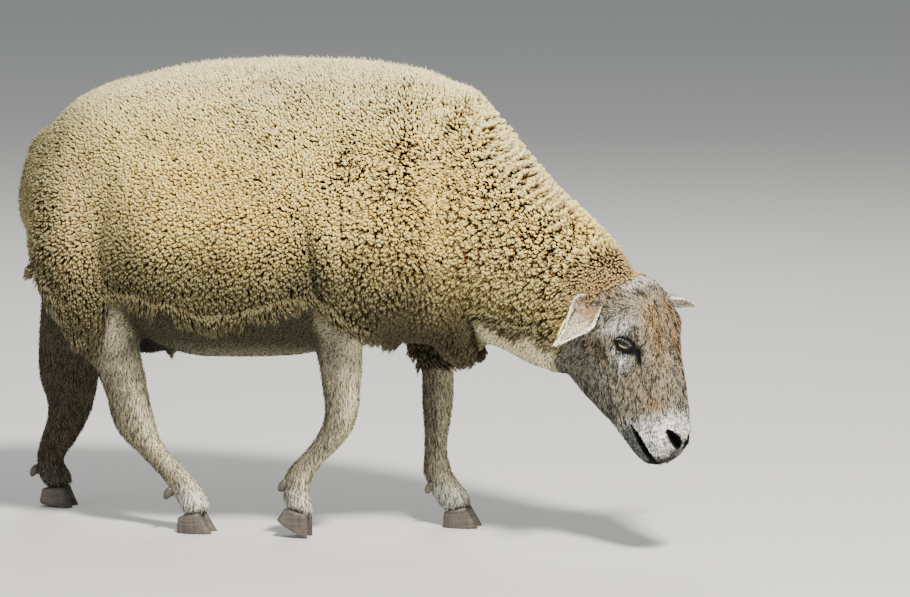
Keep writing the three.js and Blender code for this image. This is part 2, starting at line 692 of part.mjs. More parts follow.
place("trunk", trunk, materials.fleece);
place("neck", neck, materials.fleece);
place("head", head, materials.hair);
for (const [name, side] of [["left", 1], ["right", -1]]) {
  place(`eye_${name}`, eyeSolid(side, EYE_RADIUS), materials.eye);
  place(`ear_${name}`, clearOf(earSolid(ears[name]), union(head, neck)), materials.hair);
}
place("ear_tag", tagSolid(), materials.tag);
for (const { name, leg, below } of limbs) {
  const seats = dewclawSolids(leg, GAP).map(({ solid }) => solid);
  place(name, largest(below.subtract(union(...seats))), materials.hair);
  for (const { which, solid } of clawSolids(leg)) place(`${name}_claw_${which}`, solid, materials.horn);
  for (const { which, solid } of dewclawSolids(leg)) place(`${name}_dewclaw_${which}`, solid, materials.horn);
}
place("tail", largest(tailSolid().subtract(trunk.translate([-2 * GAP, 0, 0]))), materials.fleece);
place("udder", clearOf(udderSolid(), union(trunk, ...limbs.map(({ below }) => below))), materials.udder);

// The origin goes to the floor under the middle of the whole model.
const bounds = new THREE.Box3().setFromObject(sheep);
sheep.position.set(-(bounds.min.x + bounds.max.x) / 2, -(bounds.min.y + bounds.max.y) / 2, 0);

export default sheep;
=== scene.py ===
# A grazing ewe in short fleece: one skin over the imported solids, with wool locks, wisps and short hair on it.
import math

import bmesh
import bpy
import numpy as np
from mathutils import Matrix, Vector
from mathutils.kdtree import KDTree


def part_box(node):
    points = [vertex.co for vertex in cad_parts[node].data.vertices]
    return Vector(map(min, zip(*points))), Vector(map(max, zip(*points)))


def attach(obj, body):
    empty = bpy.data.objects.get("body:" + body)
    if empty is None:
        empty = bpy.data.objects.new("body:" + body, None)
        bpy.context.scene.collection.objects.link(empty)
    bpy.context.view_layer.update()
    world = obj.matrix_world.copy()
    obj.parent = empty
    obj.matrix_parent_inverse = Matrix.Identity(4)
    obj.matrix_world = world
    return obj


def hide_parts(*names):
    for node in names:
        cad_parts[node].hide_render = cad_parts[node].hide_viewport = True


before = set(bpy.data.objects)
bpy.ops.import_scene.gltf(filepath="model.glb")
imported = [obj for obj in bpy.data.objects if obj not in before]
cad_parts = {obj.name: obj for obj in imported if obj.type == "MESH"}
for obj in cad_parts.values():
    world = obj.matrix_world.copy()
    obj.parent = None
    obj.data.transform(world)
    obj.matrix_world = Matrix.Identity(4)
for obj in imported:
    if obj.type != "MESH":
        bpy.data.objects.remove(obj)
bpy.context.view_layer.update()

mm = 0.001
rng = np.random.default_rng(41)


def unit(v):
    v = np.asarray(v, float)
    return v / np.maximum(np.linalg.norm(v, axis=-1, keepdims=True), 1e-9)


def lengthOf(v):
    return np.linalg.norm(v, axis=1)


def ramp(x, low, high):
    t = np.clip((np.asarray(x, float) - low) / (high - low), 0, 1)
    return t * t * (3 - 2 * t)


def fade(x, low, high):
    return 1 - ramp(x, low, high)


def hump(x, middle, width):
    return np.exp(-((x - middle) / width) ** 2)


def blob(p, centre, size):
    # a soft round spot, 1 at its centre
    d = (p - np.array(centre, float)) / np.array(size, float)
    return np.exp(-(d * d).sum(-1))


def spots(p, rows):
    # weighted round spots added up: weight, centre, size
    return sum(weight * blob(p, centre, size) for weight, centre, size in rows)


def follow(x, table):
    # the value at x on a table of (x, value) pairs
    return np.interp(x, *zip(*table))


def linear(rgb):
    c = np.array(rgb, float) / 255
    return np.where(c <= 0.04045, c / 12.92, ((c + 0.055) / 1.055) ** 2.4)


def mix(a, b, t):
    t = np.asarray(t)[..., None]
    return a * (1 - t) + b * t


def softNoise(p, scale, seed=0):
    # smooth value noise from 0 to 1, one cell per scale
    q = np.asarray(p, float) / scale + 1000.5
    cell = np.floor(q).astype(np.int64)
    f = q - cell
    f = f * f * (3 - 2 * f)
    total = 0
    for dx in (0, 1):
        for dy in (0, 1):
            for dz in (0, 1):
                h = ((cell[..., 0] + dx) * 73856093 ^ (cell[..., 1] + dy) * 19349663 ^
                     (cell[..., 2] + dz) * 83492791 ^ seed * 2654435761) & 0xFFFFFFF
                h = (h * (h ^ 0x5bd1e995) >> 7) & 0xFFFFFF
                value = (h % 10007) / 10006
                total = total + value * (f[..., 0] if dx else 1 - f[..., 0]) * \
                    (f[..., 1] if dy else 1 - f[..., 1]) * (f[..., 2] if dz else 1 - f[..., 2])
    return total


def readAll(items, field, width, kind=np.float32):
    values = np.empty(len(items) * width, kind)
    items.foreach_get(field, values)
    return values.reshape(-1, width)


def coordsOf(mesh):
    return readAll(mesh.vertices, "co", 3).astype(float)


def normalsOf(mesh):
    return readAll(mesh.vertices, "normal", 3).astype(float)


def edgesOf(mesh):
    return readAll(mesh.edges, "vertices", 2, np.int32)


def trianglesOf(mesh):
    mesh.calc_loop_triangles()
    return readAll(mesh.loop_triangles, "vertices", 3, np.int32)


def setCoords(mesh, co):
    mesh.vertices.foreach_set("co", np.ascontiguousarray(co, np.float32).ravel())
    mesh.update()


def relax(values, edges, share, rounds, amount=0.5, back=0.0):
    # evens out points or numbers over the mesh; back above 0 keeps the volume
    values = values.astype(float).copy()
    flat = values.ndim == 1
    if flat:
        values = values[:, None]
    n = len(values)
    a, b = edges[:, 0], edges[:, 1]
    degree = np.maximum(np.bincount(a, minlength=n) + np.bincount(b, minlength=n), 1)[:, None]
    share = np.broadcast_to(share, (n,))[:, None]
    for _ in range(rounds):
        for step in (amount, -back):
            if step == 0:
                continue
            around = np.stack([np.bincount(a, values[b, k], n) + np.bincount(b, values[a, k], n)
                               for k in range(values.shape[1])], 1) / degree
            values += share * step * (around - values)
    return values[:, 0] if flat else values


def placed(name, data):
    made = bpy.data.objects.new(name, data)
    bpy.context.scene.collection.objects.link(made)
    return made


def meshOf(bm, name):
    mesh = bpy.data.meshes.new(name)
    bm.to_mesh(mesh)
    bm.free()
    return mesh


def smoothFaces(mesh):
    mesh.polygons.foreach_set("use_smooth", np.ones(len(mesh.polygons), bool))
    mesh.update()


def pieceFrom(name, verts, faces):
    # faces: one integer array with three or four corners a row
    mesh = bpy.data.meshes.new(name)
    verts = np.ascontiguousarray(verts, np.float32)
    corners = faces.shape[1]
    mesh.vertices.add(len(verts))
    mesh.vertices.foreach_set("co", verts.ravel())
    mesh.loops.add(faces.size)
    mesh.loops.foreach_set("vertex_index", np.ascontiguousarray(faces, np.int32).ravel())
    mesh.polygons.add(len(faces))
    mesh.polygons.foreach_set("loop_start", np.arange(0, faces.size, corners, dtype=np.int32))
    mesh.update(calc_edges=True)
    smoothFaces(mesh)
    return placed(name, mesh)


def paint(mesh, name, values):
    # one number or one colour for each point
    values = np.asarray(values, np.float32)
    if values.ndim == 1:
        layer = mesh.attributes.new(name, "FLOAT", "POINT")
        layer.data.foreach_set("value", values)
    else:
        layer = mesh.attributes.new(name, "FLOAT_COLOR", "POINT")
        full = np.ones((len(values), 4), np.float32)
        full[:, :3] = values
        layer.data.foreach_set("color", full.ravel())


def applied(made):
    # the object's mesh with its modifiers worked in
    deps = bpy.context.evaluated_depsgraph_get()
    mesh = bpy.data.meshes.new_from_object(made.evaluated_get(deps))
    made.modifiers.clear()
    old = made.data
    made.data = mesh
    bpy.data.meshes.remove(old)
    return mesh


def remeshed(made, voxel):
    fine = made.modifiers.new("remesh", "REMESH")
    fine.mode = "VOXEL"
    fine.voxel_size = voxel * mm
    return applied(made)


headAxes = {"along": (0.2621, -0.1638, -0.9511), "up": (0.8651, -0.3969, 0.3067),
            "left": (0.4277, 0.9031, -0.0377), "eyeAlong": 94, "eyeUp": -43, "pollX": 632, "headFrom": 470}
along, up, left = (unit(headAxes[k]) for k in ("along", "up", "left"))
eyeMiddle = sum((np.array(c) for e in ("eye_left", "eye_right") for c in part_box(e)), np.zeros(3)) / 4
poll = eyeMiddle - along * headAxes["eyeAlong"] * mm - up * headAxes["eyeUp"] * mm
drawnShift = np.array([poll[0] - headAxes["pollX"] * mm, 0, 0])


def drawn(co):
    return (co - drawnShift) / mm


def onHead(co):
    # along the face, up out of it, to the ewe's left
    d = (co - poll) / mm
    return np.stack([d @ along, d @ up, d @ left], -1)


def turnedToHead(normal):
    return np.stack([normal @ along, normal @ up, normal @ left], 1)


def atHead(p):
    return p[:, 0] > headAxes["headFrom"]


def bothSides(q):
    # the left half of the face folded onto the right
    return np.stack([q[:, 0], q[:, 1], np.abs(q[:, 2])], 1)


def fromHead(q):
    q = np.asarray(q, float)
    return poll + (q[..., 0:1] * along + q[..., 1:2] * up + q[..., 2:3] * left) * mm


# lower edge of the fleece by x, for the two sides, then the throat and the edge behind the face
bellyEdge = [(-207, 387), (-160, 375), (-121, 368), (-86, 351), (-51, 341), (-30, 347), (15, 360), (69, 379),
             (105, 389)]
chestEdge = [(338, 285), (346, 362), (381, 357), (414, 346), (448, 340), (473, 334), (491, 319), (510, 300)]
hem = {
    "right": [(-420, 425), (-331, 404), (-318, 379), (-305, 354), (-298, 322), (-280, 300), (-255, 283),
              (-246, 294), (-234, 317), (-227, 344), (-220, 370), *bellyEdge, (115, 372), (138, 359),
              (161, 346), (182, 332), (195, 322), (212, 280), (240, 256), (300, 256), *chestEdge],
    "left": [(-420, 415), (-400, 395), (-388, 360), (-375, 325), (-355, 300), (-335, 305), (-322, 330),
             (-312, 355), (-300, 380), (-270, 392), *bellyEdge, (140, 372), (175, 335), (205, 285), (225, 262),
             (290, 258), *chestEdge],
    "face": [(-200, 140), (-167, 103), (-143, 87), (-67, 16), (-52, 7), (-46, 2), (-31, -4), (-20, -8)],
    "innerHind": 396, "innerHindY": 72, "ragged": 9,
}


def woolEdges(p, q):
    # height above the hem of the fleece, and distance behind its edge at the face, in millimetres
    x, y, z = p[:, 0], p[:, 1], p[:, 2]
    right = follow(x, hem["right"])
    leftSide = follow(x, hem["left"])
    side = ramp(y, -25, 25)
    edge = right * (1 - side) + leftSide * side
    inner = fade(np.abs(y), hem["innerHindY"] - 14, hem["innerHindY"] + 4) * fade(x, -225, -190)
    edge = np.maximum(edge, hem["innerHind"] * inner)
    return z - edge, follow(q[:, 1], hem["face"]) - q[:, 0]


def woolAmount(p, q):
    # above 0 inside the fleece, in millimetres from its ragged edge
    amount = np.minimum(*woolEdges(p, q)) + (softNoise(p, 22, 3) - 0.5) * 2 * hem["ragged"]
    return np.where(onEar(q), -30.0, amount)


# the face's colours and the legs' are shared by the skin and the hair that grows on it
# low, belly, brisket, rump, the dark leg colour and the ear's tan carry painted shade: the rump's also holds
# its grey-beige wool, the legs' their brown, the ear's its tan skin
colours = {
    "cream": (249, 231, 154), "top": (236, 225, 178), "gold": (246, 212, 118), "low": (108, 101, 70),
    "rumpGreyAndShade": (114, 107, 79), "thigh": (232, 208, 146), "brisketShade": (74, 64, 44), "felt": (176, 147, 100),
    "faceGrey": (133, 127, 113), "faceTan": (142, 117, 84), "faceDark": (66, 58, 46), "white": (224, 224, 219),
    "black": (10, 9, 9), "lip": (62, 67, 65), "jaw": (98, 96, 88),
    "legCream": (204, 196, 164), "legGrey": (124, 117, 98), "legBrownAndShade": (58, 51, 40), "belly": (54, 50, 32),
    "throat": (206, 194, 156), "udder": (18, 13, 9), "earPink": (186, 171, 149), "earTanAndShade": (130, 102, 70),
    "earRim": (238, 232, 218),
}
tone = {name: linear(rgb) for name, rgb in colours.items()}


def over(c, name, share, most=1.0):
    # lays the named colour over c
    return mix(c, tone[name], np.clip(share, 0, most))


def fleeceColour(p, q):
    x, _, z = p.T
    patch = softNoise(p, 90, 5) * 0.6 + softNoise(p, 34, 6) * 0.4
    gold = spots(p, [(1, (10, -190, 505), (110, 400, 62)), (0.8, (290, -150, 520), (110, 400, 110)),
                     (0.7, (470, -90, 540), (60, 400, 50)), (0.5, (-120, -150, 560), (90, 400, 60))])
    c = over(tone["cream"], "gold", gold * (0.1 + 1.1 * patch), 0.8)
    # greyer and darker over the rump: its grey-beige wool with painted shade
    c = over(c, "rumpGreyAndShade", fade(x, -330, -150) * 0.75)
    c = over(c, "top", ramp(z, 610, 720) * 0.8)
    c = over(c, "top", onRings(p) * 0.4)
    # painted shade down the lower flank
    low = fade(z + (patch - 0.5) * 50, 405, 500) * (1 - ramp(x, 250, 330) * 0.5)
    c = over(c, "low", low * 0.9)
    shade = spots(p, [(0.75, (-180, -150, 440), (50, 400, 110)), (0.8, (120, -160, 420), (22, 400, 70))])
    c = over(c, "low", shade, 0.9)
    c = over(c, "thigh", blob(p, (-262, -150, 520), (26, 400, 90)) * 0.9)
    # painted shade on the brisket, low on the chest
    dark = ramp(x, 120, 230) * fade(z, 330, 430) * (1 - ramp(x, 380, 500) * 0.5)
    c = over(c, "brisketShade", dark * (0.75 + 0.4 * patch), 0.92)
    felt = fade(follow(q[:, 1], hem["face"]) - q[:, 0], 34, 78) * ramp(x, 470, 540)
    felt *= 0.25 + 0.75 * ramp(q[:, 1], -130, -60)
    # painted shade along the lower edge of the fleece
    c = over(c, "low", fade(woolEdges(p, q)[0], 2, 56) * 0.75)
    return mix(c, tone["felt"], felt * (0.55 + 0.5 * patch))


def headColour(p, q):
    f, v, _ = q.T
    m = bothSides(q)
    patch = softNoise(p, 16, 11) * 0.6 + softNoise(p, 6, 12) * 0.4
    tan = spots(m, [(1, (60, 0, 22), (34, 24, 24)), (0.9, (112, 2, 20), (40, 20, 20)),
                    (0.5, (165, -34, 40), (34, 30, 36)), (0.7, (95, -88, 58), (26, 18, 30)),
                    (0.9, (12, -44, 56), (20, 22, 34)), (0.45, (200, -20, 30), (22, 20, 40))])
    c = over(tone["faceGrey"], "faceTan", tan * (0.45 + 0.9 * patch), 0.92)
    c = over(c, "jaw", fade(v, -118, -78) * fade(f, 200, 240) * 0.8)
    dark = spots(m, [(1.3, (92, -84, 60), (19, 13, 26)), (0.6, (24, -8, 16), (8, 14, 16)),
                     (0.5, (30, -60, 60), (14, 12, 20))])
    c = over(c, "faceDark", dark * (0.4 + patch), 0.8)
    pale = spots(m, [(1, (68, -42, 60), (12, 22, 18)), (1.1, (116, -58, 52), (15, 14, 18)),
                     (1.1, (-2, -16, 20), (15, 14, 34))]) + ramp(f, 196, 226) * 0.95
    return over(c, "white", pale * (0.62 + 0.5 * patch), 0.95)


def legColour(p, normal):
    # paler down the front, its cream hair with painted light; darker behind with painted shade; the far legs
    # darker still and the far hind leg darkest, their brown with painted shade
    x, y, z = p.T
    front = normal[:, 0]
    patch = softNoise(p * [1, 1, 0.6], 20, 22) * 0.6 + softNoise(p, 8, 23) * 0.4
    c = over(tone["legGrey"], "legCream", ramp(front, -0.15, 0.75) * (0.35 + 0.9 * patch))
    c = over(c, "legBrownAndShade", ramp(-front, 0.2, 0.9) * (0.2 + 0.7 * patch), 0.85)
    c = over(c, "white", fade(z, 40, 90) * (0.3 + 0.5 * patch), 0.8)
    hind = fade(x, -300, -240)
    return over(c, "legBrownAndShade", ramp(y, 20, 45) * (0.30 + 0.66 * hind) + 0.3 * (patch - 0.5), 0.96)


def coatColour(p, q, wool, normal):
    x, y, z = p.T
    onLeg = fade(z, 262, 318)
    legRoots = np.maximum(fade(x, -218, -186), ramp(x, 102, 122))
    thigh = ramp(np.abs(y), 50, 80) * fade(z, 330, 400) * legRoots
    # the bare skin under the body starts from the belly colour, dark mostly with painted shade
    body = mix(tone["belly"], legColour(p, normal), np.maximum(onLeg, thigh))
    # pale throat hair, paler on the ewe's right side, which faces the key light: painted light
    body = over(body, "throat", ramp(x, 340, 370) * (0.4 + 0.6 * ramp(-normal[:, 1], -0.2, 0.6)))
    body = over(body, "udder", blob(p, (-200, 0, 300), (70, 62, 44)) * 2.2)
    onFace = ramp(q[:, 0] - follow(q[:, 1], hem["face"]), -14, 2) * ramp(x, 440, 470)
    body = mix(body, headColour(p, q), onFace)
    body = mix(body, fleeceColour(p, q), ramp(wool, -6, 3))
    return earColour(q, p, normal, body)


def earColour(q, p, normal, body):
    turned = turnedToHead(normal)
    patch = softNoise(p, 7, 33)
    c = body.copy()
    for side in ("right", "left"):
        near = side == "right"
        share, turn, inner, inside = earPlace(side, q, turned)
        # tan skin towards the root, darkened with painted shade deep in the ear's cup
        skinTone = over(tone["earPink"], "earTanAndShade",
                        fade(share, 0.2, 0.5) * (0.5 + 0.8 * patch) * ramp(turn, -0.75, -0.35))
        # a dark line on the near ear only: painted shadow under its rolled rim
        slit = fade(np.abs(turn + 0.5 + 1.2 * (share - 0.36)), 0.04, 0.12) * near
        slit *= ramp(share, 0.3, 0.36) * fade(share, 0.58, 0.64)
        skinTone = mix(skinTone, tone["faceDark"] * 0.5, slit * 0.9)
        coat = over(tone["faceGrey"], "earRim", 0.1 + 0.5 * patch + 0.3 * near)
        one = mix(coat, skinTone, inner * (1.0 if near else 0.45))
        one = over(one, "earRim", ramp(np.abs(turn), 0.72, 0.95) * 0.9)
        one = over(one, "earRim", ramp(share, 0.82, 0.97) * 0.55)
        c = mix(c, one, inside)
    return c


# root, direction and open face as (along, up, left); stations: share of the length, half width, half angle
# of the roll, and how far the middle line sways across
earSet = {
    "right": {"root": (20, -68, -66), "toward": (0.50, -0.22, -0.84), "opening": (-0.25, 0.90, -0.36),
              "droop": 6, "length": 106,
              "stations": [(0, 11, 112, -1), (0.1, 13, 98, -1), (0.2, 19.5, 84, -3.4), (0.3, 22.4, 70, -2),
                           (0.4, 22.6, 60, 2), (0.5, 19.4, 52, 3.6), (0.6, 14.6, 47, 4.2), (0.7, 9.8, 42, 4),
                           (0.8, 6.6, 38, 3.2), (0.9, 4.2, 34, 0.9), (1, 1.4, 28, -1.5)]},
    "left": {"root": (24, -36, 42), "toward": (0.229, -0.074, 0.971), "opening": (0.967, 0.182, -0.153),
             "droop": 2, "length": 104,
             "stations": [(0, 12, 110, 0), (0.14, 13.5, 96, 0), (0.3, 15, 76, 0), (0.5, 15, 58, 0),
                          (0.7, 12, 48, 0), (0.86, 7.5, 42, 0), (0.95, 4.4, 38, 0), (1, 1.2, 34, 0)]},
    "down": (0.951, -0.307, 0.038), "thick": 4.2, "edge": 2.4, "rows": 70, "columns": 34,
    "setBack": 0.92, "voxel": 1.25, "reach": 6.5,
}


def earAxes(side):
    ear = earSet[side]
    to = unit(ear["toward"])
    opening = np.array(ear["opening"], float)
    opening = unit(opening - to * (opening @ to))
    return np.array(ear["root"], float), to, opening, np.cross(to, opening)


def earAt(side, share):
    # radius and half angle of the roll, the sway, and how far the ear droops, by share of its length
    shares, halves, rolls, sways = zip(*earSet[side]["stations"])
    roll = np.radians(np.interp(share, shares, rolls))
    radius = np.interp(share, shares, halves) / np.sin(np.minimum(roll, math.pi / 2))
    droop = np.array(earSet["down"]) * (earSet[side]["droop"] * share ** 2)[..., None]
    return radius, roll, np.interp(share, shares, sways), droop


def earSheet(side, q):
    # share and turn of the nearest place on the ear's sheet, and the distance from it
    root, to, opening, across = earAxes(side)
    share = np.clip(((q - root) @ to) / earSet[side]["length"], 0, 1)
    radius, roll, sway, droop = earAt(side, share)
    d = q - root - droop
    a = d @ across - sway
    b = radius * earSet["setBack"] - d @ opening
    turn = np.clip(np.arctan2(a, b) / roll, -1, 1)
    sine, cosine = np.sin(turn * roll), np.cos(turn * roll)
    past = np.abs((q - root) @ to - share * earSet[side]["length"])
    return share, turn, np.hypot(np.hypot(a - radius * sine, b - radius * cosine), past), sine, cosine


def earPlace(side, q, turned):
    # share along the ear, turn across it, how far it faces into the hollow, and how surely it is the ear
    _, _, opening, across = earAxes(side)
    share, turn, away, sine, cosine = earSheet(side, q)
    hollow = opening * cosine[:, None] - across * sine[:, None]
    inner = ramp((turned * hollow).sum(1), -0.1, 0.4)
    reach = earSet["reach"]
    return share, turn, inner, ramp(share, 0.07, 0.2) * fade(away, reach - 1, reach + 2)


def onEar(q):
    found = np.zeros(len(q), bool)
    for side in ("right", "left"):
        share, _, away, _, _ = earSheet(side, q)
        found |= (share > 0.1) & (away < earSet["reach"])
    return found


def earPoint(side, share, turn, depth):
    # turn from -1 to 1 across the ear, depth behind the open face
    root, to, opening, across = earAxes(side)
    radius, roll, sway, droop = earAt(side, share)
    reach = radius + depth
    point = root + to * (share * earSet[side]["length"])[..., None] + droop
    point = point + across * (reach * np.sin(turn * roll) + sway)[..., None]
    return point + opening * (radius * earSet["setBack"] - reach * np.cos(turn * roll))[..., None]


def earLump(side):
    # front and back of the shell in loops round it, closed at both ends
    rows = earSet["rows"]
    turns = np.linspace(-1, 1, earSet["columns"])
    share, turn = np.meshgrid(np.linspace(0, 1, rows) ** 0.92, turns, indexing="ij")
    ripple = 0.6 * np.sin(turn * 9 + share * 4) * (1 - np.abs(turn)) * (1 - share)
    thick = (earSet["edge"] + (earSet["thick"] - earSet["edge"]) * (1 - turn ** 4)) * (1 - 0.4 * share)
    behind = earPoint(side, share, turn, thick)[:, ::-1]
    loops = np.concatenate([earPoint(side, share, turn, ripple), behind], 1)
    ring = loops.shape[1]
    verts = loops.reshape(-1, 3)
    around = np.arange(ring)
    nextOne = (around + 1) % ring
    faces = []
    for start in range(0, (rows - 1) * ring, ring):
        corners = (start + around, start + nextOne, start + ring + nextOne, start + ring + around)
        faces += np.stack(corners, 1).tolist()
    for start in (0, (rows - 1) * ring):
        faces += [[start + int(a), start + int(b), len(verts)] for a, b in zip(around, nextOne)]
        verts = np.vstack([verts, verts[start:start + ring].mean(0)])
    bm = bmesh.new()
    points = [bm.verts.new(c) for c in fromHead(verts)]
    for corners in faces:
        bm.faces.new([points[i] for i in corners])
    bmesh.ops.remove_doubles(bm, verts=bm.verts, dist=0.05 * mm)
    bmesh.ops.recalc_face_normals(bm, faces=bm.faces)
    made = placed("ear", meshOf(bm, "ear"))
    mesh = remeshed(made, earSet["voxel"])
    setCoords(mesh, relax(coordsOf(mesh), edgesOf(mesh), 1.0, 5, 0.5, 0.52))
    return made


def newMaterial(name, roughness, gloss, sheen=0.0, coat=0.0):
    material = bpy.data.materials.new(name)
    material.use_nodes = True
    shader = material.node_tree.nodes["Principled BSDF"]
    shader.inputs["Roughness"].default_value = roughness
    shader.inputs["Specular IOR Level"].default_value = gloss
    if sheen:
        shader.inputs["Sheen Weight"].default_value = sheen
        shader.inputs["Sheen Roughness"].default_value = 0.5
    if coat:
        shader.inputs["Coat Weight"].default_value = coat
        shader.inputs["Coat Roughness"].default_value = 0.03
    return material, shader


def node(beside, kind, **settings):
    # a node in the same tree; a keyword that starts with in_ sets the input of that name
    made = beside.id_data.nodes.new(kind)
    for key, value in settings.items():
        if key.startswith("in_"):
            made.inputs[key[3:].replace("_", " ")].default_value = value
        else:
            setattr(made, key, value)
    return made


def join(output, into):
    output.id_data.links.new(output, into)


def painted(beside, name):
    return node(beside, "ShaderNodeAttribute", attribute_name=name).outputs


def noiseAt(beside, scale, detail, roughness=0.5, stretch=(1, 1, 1), turn=(0, 0, 0)):
    place = node(beside, "ShaderNodeTexCoord")
    mapping = node(beside, "ShaderNodeMapping", in_Scale=stretch, in_Rotation=turn)
    made = node(beside, "ShaderNodeTexNoise", in_Scale=scale, in_Detail=detail, in_Roughness=roughness)
    join(place.outputs["Object"], mapping.inputs["Vector"])
    join(mapping.outputs["Vector"], made.inputs["Vector"])
    return made.outputs["Fac"]


def between(value, fromMin, fromMax, toMin, toMax):
    made = node(value, "ShaderNodeMapRange", in_From_Min=fromMin, in_From_Max=fromMax,
                in_To_Min=toMin, in_To_Max=toMax)
    join(value, made.inputs["Value"])
    return made.outputs["Result"]


def blended(a, b, share):
    # share: a number, or a socket that gives one
    made = node(a, "ShaderNodeMix", data_type="FLOAT")
    if isinstance(share, float):
        made.inputs["Factor"].default_value = share
    else:
        join(share, made.inputs["Factor"])
    join(a, made.inputs["A"])
    join(b, made.inputs["B"])
    return made.outputs["Result"]


def scaled(colour, amount, shader):
    made = node(shader, "ShaderNodeVectorMath", operation="SCALE")
    join(colour, made.inputs[0])
    join(amount, made.inputs["Scale"])
    join(made.outputs["Vector"], shader.inputs["Base Color"])


def tintedColour(shader, root, speck, spread):
    # the point's own colour and tone, darker at the root with painted shade, with a speck in it
    amount = node(shader, "ShaderNodeMath", operation="MULTIPLY")
    join(painted(shader, "tone")["Fac"], amount.inputs[0])
    join(between(speck, 0.3, 0.7, 1 - spread, 1 + spread), amount.inputs[1])
    deep = node(shader, "ShaderNodeMix", data_type="VECTOR", in_Factor=0.0)
    deep.inputs["A"].default_value = root
    deep.inputs["B"].default_value = (1, 1, 1)
    join(between(painted(shader, "rise")["Fac"], 0.3, 0.85, 0.0, 1.0), deep.inputs["Factor"])
    shaded = node(shader, "ShaderNodeVectorMath", operation="MULTIPLY")
    join(painted(shader, "tint")["Color"], shaded.inputs[0])
    join(deep.outputs[1], shaded.inputs[1])
    scaled(shaded.outputs["Vector"], amount.outputs[0], shader)


def shadeRamp(shader, value, stops):
    # stops: place and colour of the dark end and the pale end
    shades = node(shader, "ShaderNodeValToRGB")
    for stop, (place, rgb) in zip(shades.color_ramp.elements, stops):
        stop.position = place
        stop.color = (*linear(rgb), 1)
    join(value, shades.inputs["Fac"])
    join(shades.outputs["Color"], shader.inputs["Base Color"])


def bump(shader, height, strength, distance):
    made = node(shader, "ShaderNodeBump", in_Strength=strength, in_Distance=distance)
    join(height, made.inputs["Height"])
    join(made.outputs["Normal"], shader.inputs["Normal"])


def woolMaterial():
    material, shader = newMaterial("fleeceWool", 0.92, 0.2, 0.12)
    # brown painted shade towards the roots of the locks, where the cracks show them
    tintedColour(shader, (0.46, 0.30, 0.15), noiseAt(shader, 480, 3), 0.2)
    bump(shader, noiseAt(shader, 900, 4, 0.7), 0.9, 0.0016)
    return material


def hairMaterial():
    material, shader = newMaterial("shortHair", 0.72, 0.22)
    tintedColour(shader, (0.62, 0.58, 0.52), noiseAt(shader, 500, 3), 0.12)
    return material


def skinMaterial():
    # strokes of short hair: along the face, down the legs
    material, shader = newMaterial("hairySkin", 0.78, 0.2)
    onFace = noiseAt(shader, 330, 3, 0.6, (0.3, 1, 1), (0.17, 1.31, 0))
    onBody = noiseAt(shader, 360, 3, 0.6, (1, 1, 0.25))
    strokes = blended(onBody, onFace, painted(shader, "faceShare")["Fac"])
    tintedColour(shader, (0.4, 0.4, 0.4), strokes, 0.75)
    bump(shader, strokes, 0.7, 0.0014)
    return material


def hornMaterial():
    # growth rings round the hoof, crossed by upright streaks
    material, shader = newMaterial("hoofHorn", 0.5, 0.5)
    rings = noiseAt(shader, 60, 3, 0.6, (0.35, 0.35, 5))
    grain = blended(rings, noiseAt(shader, 160, 3, 0.6, (1, 1, 0.2)), 0.45)
    shadeRamp(shader, grain, [(0.3, (40, 36, 32)), (0.72, (104, 96, 84))])
    bump(shader, grain, 0.5, 0.0012)
    return material


def tagMaterial():
    material, shader = newMaterial("earTagPlastic", 0.38, 0.5)
    wear = noiseAt(shader, 260, 3)
    shadeRamp(shader, wear, [(0.35, (206, 196, 84)), (0.7, (232, 224, 122))])
    bump(shader, wear, 0.25, 0.0005)
    return material


def eyeMaterial():
    material, shader = newMaterial("wetEye", 0.16, 0.3, coat=0.2)
    grain = between(noiseAt(shader, 900, 2), 0.3, 0.7, 0.85, 1.15)
    scaled(painted(shader, "tint")["Color"], grain, shader)
    return material


skinSet = {"voxel": 4.2, "fleeceDepth": 18.0, "feltThin": 0.6, "hairDepth": 1.4, "smooth": 34, "headSmooth": 8,
           "withers": (302, 0, 706), "withersSize": (46, 110, 70), "withersLift": 11.0, "level": 70,
           "muzzleFrom": 200, "underWoolShade": (0.42, 0.27, 0.13), "eyeArea": ((98, -42, 54), 34),
           "tearArea": ((124, -28, 45), 20)}
eyeSet = {"centre": (94, -43, 44.5), "radius": 15.5, "slit": (0.60, 0.75, 0.25), "gaze": (0.15, 0.45, -0.88),
          "half": 14.5, "upper": 6.8, "lower": 5.6, "lid": 1.7, "blend": 26.0, "bulge": 0.7,
          "iris": 7.8, "pupilAndShade": (8.4, 6.2), "rings": 70, "spokes": 72, "lashes": 15}
mouthSet = {"line": [(205, -84), (218, -77), (230, -73), (244, -69), (257, -65), (269, -62), (290, -60)],
            "gap": [(211, 0.0), (222, 3.4), (238, 6.2), (262, 6.6), (276, 5.0), (290, 3.2)],
            "depth": 18.0, "corner": 212}
nostrilSet = {"path": [(239, -15, 27), (246, -12.5, 23), (253, -12.5, 18), (259, -14, 12.5), (264, -18, 8)],
              "half": [3.0, 6.0, 7.0, 6.6, 3.6], "inward": (-0.55, -0.45, -0.7), "depth": 15.0}
fleshNodes = ["trunk", "neck", "head", "ear_left", "ear_right", "foreleg_right", "foreleg_left",
              "hindleg_right", "hindleg_left", "tail", "udder"]


